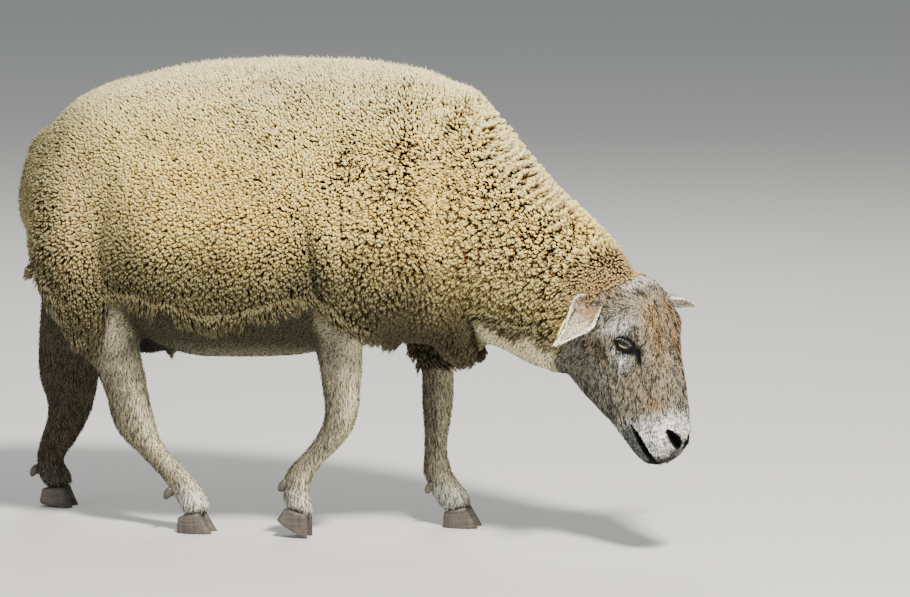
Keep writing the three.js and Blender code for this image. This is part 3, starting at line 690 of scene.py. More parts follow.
def bodyLump():
    # all flesh but the ears in one lump, with the eye sockets and the mouth filled in
    bm = bmesh.new()
    for name in fleshNodes + ["eye_left", "eye_right"]:
        if not name.startswith("ear"):
            bm.from_mesh(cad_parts[name].data)
    muzzle = bmesh.new()
    muzzle.from_mesh(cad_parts["head"].data)
    far = [v for v in muzzle.verts if (v.co - Vector(poll)).dot(Vector(along)) < skinSet["muzzleFrom"] * mm]
    bmesh.ops.delete(muzzle, geom=far, context="VERTS")
    hull = bmesh.ops.convex_hull(muzzle, input=muzzle.verts)
    spare = [g for g in hull["geom_interior"] + hull["geom_unused"] if isinstance(g, bmesh.types.BMVert)]
    bmesh.ops.delete(muzzle, geom=list(set(spare)), context="VERTS")
    bmesh.ops.recalc_face_normals(muzzle, faces=muzzle.faces)
    part = meshOf(muzzle, "muzzle")
    bm.from_mesh(part)
    bpy.data.meshes.remove(part)
    made = placed("skin", meshOf(bm, "skin"))
    remeshed(made, skinSet["voxel"])
    return made


def softened(co, normal, edges, share, rounds):
    # rounds off facets and keeps the girth: what the smoothing took away over a wide area is put back
    soft = relax(co, edges, share, rounds)
    lost = relax(((soft - co) * normal).sum(1), edges, 1.0, skinSet["level"])
    return soft - normal * lost[:, None]


def refine(made, wanted):
    # halves the edges whose ends are both wanted
    mesh = made.data
    keep = wanted(coordsOf(mesh))
    bm = bmesh.new()
    bm.from_mesh(mesh)
    bm.edges.ensure_lookup_table()
    ends = edgesOf(mesh)
    chosen = np.nonzero(keep[ends[:, 0]] & keep[ends[:, 1]])[0]
    bmesh.ops.subdivide_edges(bm, edges=[bm.edges[i] for i in chosen], cuts=1, use_grid_fill=True)
    bm.to_mesh(mesh)
    bm.free()
    mesh.update()


def eyeBasis(side):
    # centre, slit direction towards the nose, upper lid side, gaze; side -1 is the ewe's right
    flip = np.array([1, 1, -side])
    slit = unit(np.array(eyeSet["slit"]) * flip)
    gaze = np.array(eyeSet["gaze"]) * flip
    gaze = unit(gaze - slit * (gaze @ slit))
    top = unit(np.cross(slit, gaze))
    if top[0] > 0:
        top = -top
    centre = np.array(eyeSet["centre"]) * np.array([1, 1, side])
    return centre, slit, top, gaze


def inEye(q, side):
    centre, slit, top, gaze = eyeBasis(side)
    d = q - centre
    return np.stack([d @ slit, d @ top, d @ gaze], 1)


def fromEye(e, side):
    centre, slit, top, gaze = eyeBasis(side)
    return centre + e[:, :1] * slit + e[:, 1:2] * top + e[:, 2:] * gaze


def lidEdge(x):
    # how far the two lids open at x along the slit
    t = np.clip(np.abs(x) / eyeSet["half"], 0, 1)
    return eyeSet["upper"] * (1 - t ** 2.0) ** 0.75, eyeSet["lower"] * (1 - t ** 2.2) ** 0.85


def lidReach(e):
    # how far the lid that is nearer to a point opens
    upper, lower = lidEdge(e[:, 0])
    return np.where(e[:, 1] > 0, upper, lower)


def eyeOpen(e):
    # below 1 inside the slit between the lids, above 1 outside it
    x, y = np.abs(e[:, 0]), np.abs(e[:, 1])
    return np.where(x < eyeSet["half"], y / np.maximum(lidReach(e), 0.35), 1 + y + x - eyeSet["half"])


def sculptEye(q, side):
    e = inEye(q, side)
    flat = np.hypot(e[:, 0], e[:, 1])
    k = np.nonzero((e[:, 2] > -5) & (flat < eyeSet["blend"] + 8))[0]
    e, flat = e[k], flat[k]
    radius = eyeSet["radius"]
    # points close to the rim of the opening go onto it
    reach = lidReach(e)
    toRim = np.abs(e[:, 1]) - reach
    on = (np.abs(toRim) < 0.45) & (np.abs(e[:, 0]) < eyeSet["half"] - 0.6)
    e[on, 1] = np.sign(e[on, 1]) * reach[on]
    openness = eyeOpen(e)
    length = lengthOf(e)
    rim = np.minimum(np.abs(toRim), 12)
    above = e[:, 1] > 0
    lidRadius = radius + eyeSet["lid"] + 0.6 * hump(rim, 3, 2.2) + 0.7 * above * hump(rim, 0, 3)
    lidRadius -= 1.4 * hump(rim, 7.4, 1.3) * above
    lidRadius -= 1.1 * hump(rim, 8.5, 1.6) * ~above
    weight = fade(flat, 14, eyeSet["blend"])
    target = length + (lidRadius - length) * weight
    target[openness < 0.995] = radius - 2.6
    target[on] = radius + 1.2
    e *= (target / np.maximum(length, 1e-6))[:, None]
    q = q.copy()
    q[k] = fromEye(e, side)
    return q


def pathDistance(q, path, halves):
    # distance from a bent line, less its own half width there
    best = np.full(len(q), 1e3)
    for i in range(len(path) - 1):
        a, b = np.array(path[i], float), np.array(path[i + 1], float)
        t = np.clip(((q - a) @ (b - a)) / ((b - a) @ (b - a)), 0, 1)
        d = lengthOf(q - a - t[:, None] * (b - a)) - (halves[i] * (1 - t) + halves[i + 1] * t)
        best = np.minimum(best, d)
    return best


def nostrilDistance(q):
    return pathDistance(bothSides(q), nostrilSet["path"], nostrilSet["half"])


def nostrilDepth(q):
    # distance from the whole passage, from its rim to its bottom
    m = bothSides(q)
    path, inward = np.array(nostrilSet["path"]), np.array(nostrilSet["inward"])
    return np.min([pathDistance(m, path + inward * step, nostrilSet["half"]) for step in (0, 5, 10, 15)], 0)


def mouthDistance(q):
    # distance from the mouth line less half the gap, and big behind the corner
    line = follow(q[:, 0], mouthSet["line"])
    gap = follow(q[:, 0], mouthSet["gap"])
    return np.abs(q[:, 1] - line) - gap + np.maximum(mouthSet["corner"] - q[:, 0], 0) * 2


# swellings and hollows of the face: height, place and size in head axes
faceForms = [
    (3.4, (74, -18, 50), (15, 16, 16)),    # brow over the eye
    (2.2, (120, -62, 50), (20, 13, 20)),   # cheekbone below the eye
    (2.4, (84, -120, 56), (40, 34, 30)),   # chewing muscle
    (-2.6, (134, -88, 46), (20, 16, 24)),  # hollow in front of it
    (-1.8, (150, -30, 40), (26, 12, 16)),  # hollow beside the nose bone
    (1.4, (165, -4, 20), (40, 10, 10)),    # edge of the nose bone
    (-1.8, (60, 4, 0), (22, 20, 9)),       # dip between the brows
    (2.4, (252, -40, 28), (17, 13, 16)),   # full upper lip
    (1.8, (244, -2, 26), (10, 7, 10)),     # wing of the nostril
    (-1.6, (222, -30, 32), (10, 16, 20)),  # behind the muzzle
    (1.8, (240, -92, 20), (18, 10, 20)),   # lower lip
    (2.0, (2, -12, 0), (10, 12, 40)),      # ridge across the poll
    (-2.5, (-12, -30, 30), (5, 20, 40)),   # crease behind it
]
tearPath = [(106, -23, 48), (122, -26, 45), (139, -31, 43)]
creasePath = [(193, -53, 37), (204, -62, 36), (217, -76, 33)]


def sculptHead(q, normal):
    f, v, w = q.T
    m = bothSides(q)
    lift = sum(height * blob(m, place, size) for height, place, size in faceForms)
    lift -= 2.2 * fade(pathDistance(m, tearPath, [1.6, 1.4, 0.8]), -1.0, 3.0)
    crease = pathDistance(m, creasePath, [0.6, 0.8, 1.0])
    lift -= 2.0 * fade(crease, -0.5, 3.4)
    lift += 1.0 * hump(crease, 5, 2.6)
    # wrinkles over the muzzle
    wrinkles = np.sin(f * 2 * math.pi / 7 + softNoise(m, 12, 4) * 5)
    lift += 0.4 * wrinkles * ramp(f, 208, 226) * fade(f, 250, 262)
    lift += (softNoise(q, 9, 31) - 0.5) * 1.0
    out = q + normal * lift[:, None]
    # nostrils go in towards the middle
    d = nostrilDistance(q)
    out += normal * (hump(d, 1.8, 1.5) * 1.2)[:, None]
    push = fade(d, -2.0, 0.4) * nostrilSet["depth"]
    mirror = np.stack([0 * w + 1, 0 * w + 1, np.sign(w)], 1)
    out += unit(nostrilSet["inward"] * mirror) * push[:, None]
    # mouth
    d = mouthDistance(q)
    out += normal * (hump(d, 2.2, 1.8) * 1.2 * ramp(f, 214, 226))[:, None]
    push = fade(d, -1.8, 0.3) * mouthSet["depth"] * (f > mouthSet["corner"] - 8) * (v > -110)
    line = follow(f, mouthSet["line"])
    core = np.stack([np.minimum(f, 262) - 8, line, 0 * w], 1)
    return out + unit(core - q) * push[:, None]


def fleeceRelief(p):
    # folds that the fleece follows, in millimetres: behind the elbow, before the thigh, across the neck
    x, _, z = p.T
    patch = softNoise(p, 26, 44)
    fold = -8.0 * hump(x - 118 + (z - 430) * 0.05, 0, 8) * ramp(z, 372, 400) * fade(z, 470, 540)
    fold -= 5.0 * hump(x + 225 - (z - 430) * 0.25, 0, 10) * ramp(z, 390, 420) * fade(z, 500, 590)
    rings = np.cos((x * 0.48 - z * 0.88 + (patch - 0.5) * 14) * 2 * math.pi / 15.5)
    fold -= 5.0 * np.maximum(rings, -0.3) * onRings(p) * (0.5 + patch)
    return fold + (softNoise(p, 60, 45) - 0.5) * 3


def onRings(p):
    x, z = p[:, 0], p[:, 2]
    return ramp(x, 340, 372) * fade(x, 480, 510) * ramp(z - (593 - (x - 367) * 0.9), -14, 16)


def feltShare(p, face):
    # the short felted wool behind the head
    return fade(face, 30, 76) * ramp(p[:, 0], 470, 540)


def coatDepth(p, q):
    # how far the skin lies under the tips of the fleece
    felt = feltShare(p, woolEdges(p, q)[1])
    return skinSet["fleeceDepth"] * (1 - skinSet["feltThin"] * felt)


def makeSkin():
    skin = bodyLump()
    mesh = skin.data
    co, edges = coordsOf(mesh), edgesOf(mesh)
    print("skin: lump of", len(co), "points")
    q, p = onHead(co), drawn(co)
    headShare = ramp(q[:, 0] + (p[:, 0] - 480) * 0.3, -20, 20) * atHead(p)
    foot = fade(p[:, 2], 40, 80)
    co = softened(co, normalsOf(mesh), edges, 1.0, skinSet["headSmooth"])
    co = softened(co, normalsOf(mesh), edges, 1 - np.maximum(0.9 * headShare, 0.5 * foot), skinSet["smooth"])
    setCoords(mesh, co)
    p, q = drawn(co), onHead(co)
    wool = woolAmount(p, q)
    share = relax(ramp(wool, -4, 10), edges, 1.0, 4)
    depth = skinSet["hairDepth"] + (coatDepth(p, q) - skinSet["hairDepth"]) * share
    depth *= 1 - 0.4 * ramp(q[:, 0], -70, -10) * atHead(p)
    withers = blob(p, skinSet["withers"], skinSet["withersSize"]) * skinSet["withersLift"]
    lifted = co + normalsOf(mesh) * withers[:, None] * mm
    co = relax(lifted, edges, withers / skinSet["withersLift"], 6)
    co = co - normalsOf(mesh) * ((depth - fleeceRelief(p) * share * 0.6)[:, None]) * mm
    co = relax(co, edges, share, 6)
    setCoords(mesh, co)

    def inHead(c):
        return (onHead(c)[:, 0] > 8) & atHead(drawn(c))

    def features(c):
        h = onHead(c)
        m = bothSides(h)
        (eyePlace, eyeReach), (tearPlace, tearReach) = skinSet["eyeArea"], skinSet["tearArea"]
        eye = lengthOf(m - eyePlace) < eyeReach
        nose = nostrilDistance(h) < 8
        lips = (mouthDistance(h) < 7) & (h[:, 0] > 203) & (h[:, 1] > -112)
        tear = lengthOf(m - tearPlace) < tearReach
        return (eye | nose | lips | tear) & atHead(drawn(c))

    def finest(c):
        h = onHead(c)
        nearEye = [lengthOf(inEye(h, side) - [0, 0, 11]) < 22 for side in (-1, 1)]
        return nearEye[0] | nearEye[1] | (nostrilDistance(h) < 3.5)

    for wanted in (inHead, features, finest):
        refine(skin, wanted)
    mesh = skin.data
    co, edges = coordsOf(mesh), edgesOf(mesh)
    part = inHead(co)
    co = relax(co, edges, part.astype(float), 6, 0.5, 0.5)
    setCoords(mesh, co)
    q = onHead(co)
    normal = normalsOf(mesh)
    turned = turnedToHead(normal)
    q[part] = sculptHead(q[part], turned[part])
    for side in (-1, 1):
        q = sculptEye(q, side)
    co[part] = fromHead(q[part])
    setCoords(mesh, co)
    print("skin: head worked,", len(co), "points")
    for side in ("right", "left"):
        ear = earLump(side)
        union = skin.modifiers.new("union", "BOOLEAN")
        union.operation = "UNION"
        union.solver = "MANIFOLD"
        union.object = ear
        applied(skin)
        bpy.data.objects.remove(ear)
    mesh = skin.data
    co, edges = coordsOf(mesh), edgesOf(mesh)
    q = onHead(co)
    print("skin: ears joined,", len(co), "points")
    seam = np.zeros(len(co))
    for side in ("right", "left"):
        root = np.array(earSet[side]["root"], float) + unit(earSet[side]["toward"]) * 10
        seam = np.maximum(seam, fade(lengthOf(q - root), 14, 34))
    co = relax(co, edges, seam * 0.8, 8)
    setCoords(mesh, co)
    smoothFaces(mesh)
    return skin


def faceMarks(p, q, tint):
    # black round the eyes and down the tear lines; black painted shade down the nostril passages and along the
    # mouth gap; a grey lower lip
    f, v, _ = q.T
    m = bothSides(q)
    onFace = atHead(p)
    for side in (-1, 1):
        x, y, ahead = inEye(q, side).T
        t = np.hypot((x - 3.5) / (eyeSet["half"] + 9.0), (y + 0.6) / (eyeSet["upper"] + 6.0))
        tint = over(tint, "black", fade(t, 0.86, 1.14) * (ahead > 0))
    tint = over(tint, "black", fade(pathDistance(m, tearPath, [5.0, 3.4, 1.8]), 0, 2.2) * onFace)
    under = follow(f, mouthSet["line"]) - v
    tint = over(tint, "lip", onFace * ramp(f, 206, 222) * ramp(under, -2, 3) * fade(under, 26, 44) * 0.9)
    # painted shade: black down the nostril passages and in the mouth gap
    tint = over(tint, "black", fade(nostrilDepth(q), 0.4, 3.0) * onFace)
    tint = over(tint, "black", fade(mouthDistance(q), -0.5, 2.6) * onFace * (f > 206) * (v > -112))
    # dark foot of the upper lip, where it meets the mouth at the front
    foot = ramp(f + (softNoise(p, 5, 35) - 0.5) * 9, 270, 276) + 0.6 * blob(m, (268, -22, 6), (9, 9, 10))
    return over(tint, "black", np.clip(foot * 1.2, 0, 0.92) * onFace)


def paintSkin(skin):
    mesh = skin.data
    co = coordsOf(mesh)
    p, q = drawn(co), onHead(co)
    wool = woolAmount(p, q)
    tint = coatColour(p, q, wool, normalsOf(mesh))
    # painted shade: the skin under the fleece dark brown, as seen down between the locks
    tint = mix(tint, tint * skinSet["underWoolShade"], ramp(wool, 2, 14))
    tint = faceMarks(p, q, tint)
    lips = np.maximum(-mouthDistance(q), 0)
    onFace = atHead(p)
    paint(mesh, "tint", tint)
    # tone darker inside the mouth gap: painted shade
    paint(mesh, "tone", 1 - 0.25 * ramp(lips, 0.5, 3))
    # painted shade: the skin under the fleece also gets the dark root end of the shader
    paint(mesh, "rise", np.where(wool > 6, 0.3, 1.0))
    paint(mesh, "faceShare", ramp(q[:, 0], -10, 10) * onFace)
    mesh.materials.clear()
    mesh.materials.append(skinMaterial())
    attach(skin, "root")
    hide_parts(*fleshNodes)
    print("skin: painted")


def makeEye(side, name, socket):
    # one eyeball, finest in front, with a slit pupil under a painted lid shadow and a slight bulge over the
    # iris
    rings, spokes = eyeSet["rings"], eyeSet["spokes"]
    angle = math.pi * (np.arange(1, rings) / rings) ** 1.5
    turn = np.arange(spokes) * 2 * math.pi / spokes
    radius = eyeSet["radius"] + eyeSet["bulge"] * hump(angle, 0, 0.42)
    out, ahead = (radius * np.sin(angle))[:, None], (radius * np.cos(angle))[:, None]
    ball = np.stack([out * np.cos(turn), out * np.sin(turn), ahead * np.ones(spokes)], -1).reshape(-1, 3)
    ball = np.vstack([ball, [[0, 0, eyeSet["radius"] + eyeSet["bulge"]], [0, 0, -eyeSet["radius"]]]])
    if np.linalg.det(np.stack(eyeBasis(side)[1:])) > 0:
        ball = ball * [1, -1, 1]
    i, j = np.meshgrid(np.arange(rings - 2), np.arange(spokes), indexing="ij")
    a, b = (i * spokes + j).ravel(), (i * spokes + (j + 1) % spokes).ravel()
    k, nextOne = np.arange(spokes), (np.arange(spokes) + 1) % spokes
    last = (rings - 2) * spokes
    front, rear = np.full(spokes, len(ball) - 2), np.full(spokes, len(ball) - 1)
    faces = np.vstack([np.stack([a, b + spokes, b], 1), np.stack([a, a + spokes, b + spokes], 1),
                       np.stack([k, nextOne, front], 1), np.stack([last + nextOne, last + k, rear], 1)])
    made = pieceFrom(name, fromHead(fromEye(ball, side)), faces)
    outward = bmesh.new()
    outward.from_mesh(made.data)
    bmesh.ops.recalc_face_normals(outward, faces=outward.faces)
    outward.to_mesh(made.data)
    outward.free()
    x, y, r = ball[:, 0], ball[:, 1], np.hypot(ball[:, 0], ball[:, 1])
    white, iris, rim, pupilAndShade = (linear(c) for c in ((34, 26, 20), (196, 180, 124), (40, 30, 20), (5, 5, 6)))
    inIris = fade(r, eyeSet["iris"] - 0.4, eyeSet["iris"] + 0.6)
    spoke = 0.75 + 0.5 * softNoise(np.stack([np.arctan2(y, x) * 9, r * 0.4, 0 * r], 1), 1, 81)
    c = mix(white, iris * spoke[:, None], inIris)
    c = mix(c, rim, hump(r, eyeSet["iris"], 0.8) * 0.9)
    # the black patch: the slit pupil widened and raised over the upper iris, with the painted shadow of the
    # upper lid and lashes
    half, tall = eyeSet["pupilAndShade"]
    c = mix(c, pupilAndShade, fade((np.abs(x) / half) ** 3 + (np.abs(y - 2.6) / tall) ** 3, 0.8, 1.2))
    c = mix(c, pupilAndShade, (ball[:, 2] < 0) * 0.5)
    paint(made.data, "tint", c)
    made.data.materials.append(eyeCoat)
    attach(made, "root")
    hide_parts(socket)


def skinSamples(skin, count, weight):
    # random places on the skin with their normals; weight says how thickly they fall
    mesh = skin.data
    co, normal, tris = coordsOf(mesh), normalsOf(mesh), trianglesOf(mesh)
    a, b, c = co[tris[:, 0]], co[tris[:, 1]], co[tris[:, 2]]
    area = lengthOf(np.cross(b - a, c - a)) / 2
    chance = area * weight((a + b + c) / 3)
    chance /= chance.sum()
    pick = rng.choice(len(tris), count, p=chance)
    u, v = rng.random(count), rng.random(count)
    flip = u + v > 1
    u[flip], v[flip] = 1 - u[flip], 1 - v[flip]
    t = tris[pick]
    share = np.stack([1 - u - v, u, v], 1)[..., None]
    return (co[t] * share).sum(1), unit((normal[t] * share).sum(1))


def treeOf(points):
    tree = KDTree(len(points))
    for i, p in enumerate(points):
        tree.insert(p, i)
    tree.balance()
    return tree


def thinned(points, spacing):
    # keeps points at least their own spacing apart
    tree = treeOf(points)
    free = np.ones(len(points), bool)
    kept = []
    for i in range(len(points)):
        if free[i]:
            kept.append(i)
            for _, j, _ in tree.find_range(points[i], spacing[i]):
                free[j] = False
    return np.array(kept)


def clumpsOf(p, stretch, gap):
    # the middle of the clump that each point belongs to, and how deep inside it the point is: 0 at the crack
    stretch = np.array(stretch)
    s = p * stretch
    centres = s[thinned(s, np.full(len(s), gap))]
    tree = treeOf(centres)
    middle = np.empty_like(s)
    inside = np.empty(len(s))
    for i, point in enumerate(s):
        (first, _, d1), (_, _, d2) = tree.find_n(point, 2)
        middle[i] = first
        inside[i] = d2 - d1
    return middle / stretch, np.clip(inside / gap, 0, 1)


def growTufts(root, normal, lay, height, reach, half, thick, sides, shares, widths, bend, curl, pull=0.0):
    # a closed tuft at each root, in millimetres: up along the normal, bent over along lay, to a point
    n, rings = len(root), np.shape(shares)[-1]
    height, reach, half, thick = (np.broadcast_to(size, n) * mm for size in (height, reach, half, thick))
    bend, pull = np.broadcast_to(bend, n), np.broadcast_to(pull, (n, 3)) * mm
    curl = (rng.random(n) - 0.5) * curl
    lay = unit(lay - normal * (lay * normal).sum(1, keepdims=True))
    across = unit(np.cross(normal, lay))
    t = np.broadcast_to(np.array(shares, float), (n, rings))

    def middle(t):
        rise = height[:, None] * (t + bend[:, None] * t * (1 - t))
        run = reach[:, None] * t ** 1.8
        bow = reach[:, None] * curl[:, None] * np.sin(t * math.pi)
        return root[:, None] + normal[:, None] * rise[..., None] + lay[:, None] * run[..., None] + \
            across[:, None] * bow[..., None] + pull[:, None] * (t ** 2)[..., None]

    tip = middle(np.ones((n, 1)))[:, 0]
    axis = unit(middle(t + 0.04) - middle(t))
    wideway = np.broadcast_to(across[:, None], axis.shape)
    wideway = unit(wideway - axis * (wideway * axis).sum(-1, keepdims=True))
    deepway = np.cross(wideway, axis)
    angle = rng.random(n)[:, None] * 2 * math.pi / sides + np.arange(sides) * 2 * math.pi / sides
    ca, sa = np.cos(angle)[:, None], np.sin(angle)[:, None]
    ring = wideway[:, :, None] * (ca * half[:, None, None])[..., None] + \
        deepway[:, :, None] * (sa * thick[:, None, None])[..., None]
    uneven = 1 + (rng.random((n, rings, sides)) - 0.5) * 0.3
    swell = np.broadcast_to(widths, (n, rings))[:, :, None] * uneven
    verts = middle(t)[:, :, None] + ring * swell[..., None]
    per = rings * sides + 1
    allVerts = np.concatenate([verts.reshape(n, -1, 3), tip[:, None]], 1)
    faces = []
    for k in range(rings - 1):
        for j in range(sides):
            a, b = k * sides + j, k * sides + (j + 1) % sides
            faces += [(a, b, b + sides), (a, b + sides, a + sides)]
    top = (rings - 1) * sides
    faces += [(top + j, top + (j + 1) % sides, per - 1) for j in range(sides)]
    faces += [(0, j + 1, j) for j in range(1, sides - 1)]
    allFaces = (np.array(faces)[None] + (np.arange(n) * per)[:, None, None]).reshape(-1, 3)
    rise = np.concatenate([np.repeat(t, sides, 1), np.ones((n, 1))], 1).ravel()
    swirl = np.tile(np.concatenate([np.tile(np.arange(sides) / sides, rings), [0.5]]), n)
    return allVerts.reshape(-1, 3), allFaces, per, rise, swirl


# the skin laid out flat: the body above, the legs below left in rows, the head below right
sheetSet = {"patch": 0.003, "legMiddles": (-170, -385, 100, 262), "legTop": 250}


def unrolled(p, q):
    x, y, z = p.T
    around = lambda a, b: np.arctan2(a, b) / (2 * math.pi) + 0.5
    bodyU = 0.02 + 0.96 * np.clip((x + 430) / 1010, 0, 1)
    bodyV = 0.36 + 0.62 * around(y, z - 500 + 0.12 * np.maximum(x, 0))
    headU = 0.52 + 0.46 * np.clip((q[:, 0] + 50) / 350, 0, 1)
    headV = 0.02 + 0.30 * around(q[:, 2], q[:, 1] + 75)
    isHead = (q[:, 0] > -60) & (x > 500)
    isLeg = (z < sheetSet["legTop"]) & ~isHead & (np.abs(y) > 40)
    leg = (x > 30).astype(int) * 2 + (y > 0)
    legU = 0.02 + 0.48 * np.clip(z / 260, 0, 1)
    legV = 0.02 + leg * 0.08 + 0.07 * around(np.abs(y) - 76, x - np.array(sheetSet["legMiddles"])[leg])
    return (np.where(isHead, headU, np.where(isLeg, legU, bodyU)),
            np.where(isHead, headV, np.where(isLeg, legV, bodyV)))


def coatPieces(name, material, root, data, colour, toneEach, groups):
    # splits a coat into pieces by group and gives each its colours and its place on the sheet
    verts, faces, per, rise, swirl = data
    perFaces = len(faces) // len(root)
    u, v = unrolled(drawn(root), onHead(root))
    for g in np.unique(groups):
        pick = np.nonzero(groups == g)[0]
        vertPick = (pick[:, None] * per + np.arange(per)).ravel()
        facePick = (pick[:, None] * perFaces + np.arange(perFaces)).ravel()
        place = np.full(len(verts), -1, np.int64)
        place[vertPick] = np.arange(len(vertPick))
        corners = place[faces[facePick]]
        piece = pieceFrom(f"{name}_{g}", verts[vertPick], corners)
        mesh = piece.data
        paint(mesh, "tint", np.repeat(colour[pick], per, 0))
        paint(mesh, "tone", np.repeat(toneEach[pick], per))
        paint(mesh, "rise", rise[vertPick])
        flat = mesh.uv_layers.new(name="OFBake")
        pu = np.repeat(u[pick], per) + (swirl[vertPick] - 0.5) * sheetSet["patch"]
        pv = np.repeat(v[pick], per) + (rise[vertPick] - 0.5) * sheetSet["patch"]
        uv = np.stack([pu[corners.ravel()], pv[corners.ravel()]], 1).astype(np.float32)
        flat.data.foreach_set("uv", uv.ravel())
        mesh.materials.append(material)
        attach(piece, "root")
        print("coat:", piece.name, len(facePick), "triangles")


woolSet = {"tries": 270000, "spacing": 3.1, "half": 2.75, "thick": 2.35, "curl": 0.4,
           "clump": ((0.62, 1, 1.15), 5.4), "cell": ((1, 0.9, 0.95), 13.0), "column": ((1.35, 1, 0.5), 9.0),
           "crackShadeTint": (0.66, 0.50, 0.30), "splitShadeTint": (0.20, 0.12, 0.06),
           "wisps": 36000, "wispHalf": 1.1, "wispThick": 0.8, "wispCurl": 0.8}


def woolShares(p, q):
    # how far each kind of fleece holds at a point
    x, _, z = p.T
    low, face = woolEdges(p, q)
    rough = (softNoise(p, 45, 91) - 0.5) * 40
    return {
        "rear": fade(x + rough, -340, -270),
        "columns": ramp(x + rough, 130, 170) * fade(x + rough, 290, 340) * fade(z, 600, 660),
        "pebbles": ramp(x + rough, 290, 340),
        "back": ramp(z + rough * 0.5, 640, 715),
        "felt": feltShare(p, face),
        "hem": fade(low, 6, 40),
        "lowFlank": fade(z + rough * 0.6, 400, 490),
        "edge": np.minimum(low, face),
    }


def waver(p, scale, seed):
    # a small wandering direction
    return np.stack([softNoise(p, scale, seed + k) for k in range(3)], 1) - 0.5


def woolLay(p, kinds):
    # the way the locks lie: back along the flank, down and forward low on it, down the thigh
    x, y, z = p.T
    side = np.clip(y / 90, -1, 1)[:, None]
    elbow = np.clip(blob(p, (95, -160, 420), (34, 400, 60)) * 1.3, 0, 1)
    lay = np.array([-1.0, 0.0, -0.25])
    for way, share in (((0.45, 0, -1), kinds["lowFlank"]), ((-0.1, 0, -1), kinds["rear"]),
                       ((-0.15, 0, -1), kinds["columns"]), ((-0.5, 0, -0.9), kinds["pebbles"]),
                       ((-0.6, 0, -0.9), elbow), (side * [0, 0.4, 0] + [-0.7, 0, -0.2], kinds["back"]),
                       ((0.2, 0, -1), kinds["hem"] * (z < 460) * (x < 340))):
        lay = mix(lay, np.array(way), share)
    return lay + waver(p, 30, 51) * 1.1


def regionOf(p):
    # rough quarters of the body, so that no coat piece grows too big
    return np.digitize(p[:, 0], [-140, 140]) * 2 + (p[:, 1] > 0)


def inWool(c):
    return (woolAmount(drawn(c), onHead(c)) > -2).astype(float)


def growLocks(skin, material):
    root, normal = skinSamples(skin, woolSet["tries"], inWool)
    felt = woolShares(drawn(root), onHead(root))["felt"]
    keep = thinned(root, (woolSet["spacing"] * (1 - 0.12 * felt)) * mm)
    root, normal = root[keep], normal[keep]
    p, q = drawn(root), onHead(root)
    n = len(root)
    print("wool:", n, "locks")
    kinds = woolShares(p, q)
    rear, pebbles, back, felt, lowFlank = (kinds[k] for k in ("rear", "pebbles", "back", "felt", "lowFlank"))
    # small clumps everywhere; cracks part them into columns on the shoulder and rump and cells on the neck
    small, insideSmall = clumpsOf(p, *woolSet["clump"])
    cells, insideCells = clumpsOf(p, *woolSet["cell"])
    columns, insideColumns = clumpsOf(p, *woolSet["column"])
    upright = np.maximum(kinds["columns"], rear) > 0.5
    big = np.where(upright[:, None], columns, cells)
    insideBig = np.where(upright, insideColumns, insideCells)
    parted = np.clip(np.maximum(pebbles, upright) - 0.8 * onRings(p) - back - felt, 0, 1)
    parted *= np.clip(0.1 + 1.7 * softNoise(p, 46, 71), 0, 1)
    loose = np.clip(back * 0.8 + felt * 0.95, 0, 1)
    deep = fade(p[:, 2] + (softNoise(p, 50, 72) - 0.5) * 90, 430, 580) + 0.55 * rear
    deep = np.clip(deep + 0.15 * pebbles, 0.2, 1)
    pull = (small - p) * (0.13 + 0.2 * deep * (1 - loose))[:, None] + (big - p) * (0.16 * parted)[:, None]
    pull -= normal * (pull * normal).sum(1, keepdims=True)
    crack = fade(insideSmall, 0.02, 0.34) * (1 - 0.75 * loose)
    split = fade(insideBig, 0.07, 0.3) * parted
    relief = fleeceRelief(p)
    height = (coatDepth(p, q) - 0.5 + relief * 0.7) * (0.5 + 0.5 * ramp(kinds["edge"], -4, 16))
    height *= 1 - (0.05 + 0.09 * deep) * crack - 0.26 * split
    height *= 1 + (0.1 - 0.06 * felt) * (rng.random(n) - 0.5)
    fringe = kinds["hem"] * (1 - pebbles * 0.6)
    reach = 6.5 + 3.5 * lowFlank + 2.0 * rear - 3.0 * back - 0.5 * pebbles
    reach = (reach + 9.0 * fringe) * (0.8 + 0.4 * rng.random(n))
    point = np.clip(0.15 + 0.9 * fringe + 0.35 * lowFlank + 0.3 * rear + 0.4 * loose, 0, 1)
    widths = mix(np.array([0.8, 1.0]), np.array([0.85, 0.66]), point)
    size = (0.86 + 0.34 * rng.random(n)) * (1 - 0.16 * point) * (1 - 0.12 * felt)
    size *= 1 + 0.16 * np.maximum(pebbles, kinds["columns"])
    bend = np.clip(0.55 + 0.5 * fringe + 0.2 * lowFlank - 0.35 * loose, 0, 1)
    top = np.stack([0 * point, 0.92 - 0.16 * point], 1)
    data = growTufts(root, normal, woolLay(p, kinds), height, reach, woolSet["half"] * size,
                     woolSet["thick"] * size, 4, top, widths, bend, woolSet["curl"], pull)
    colour = coatColour(p, q, np.full(n, 50.0), normal)
    # painted shade in the cracks between small clumps, deeper low down and at the rear, and darkest in the
    # splits between the big clumps
    colour = mix(colour, colour * woolSet["crackShadeTint"], crack * (0.45 + 0.55 * deep))
    colour = mix(colour, colour * woolSet["splitShadeTint"], split)
    # tone: painted shade at the cracks and in the folds, with a random spread from lock to lock
    toneEach = (1 - 0.12 * crack) * (0.88 + 0.24 * rng.random(n)) * (1 + np.clip(relief, -6, 0) * 0.10)
    coatPieces("woolLocks", material, root, data, colour, toneEach, regionOf(p))


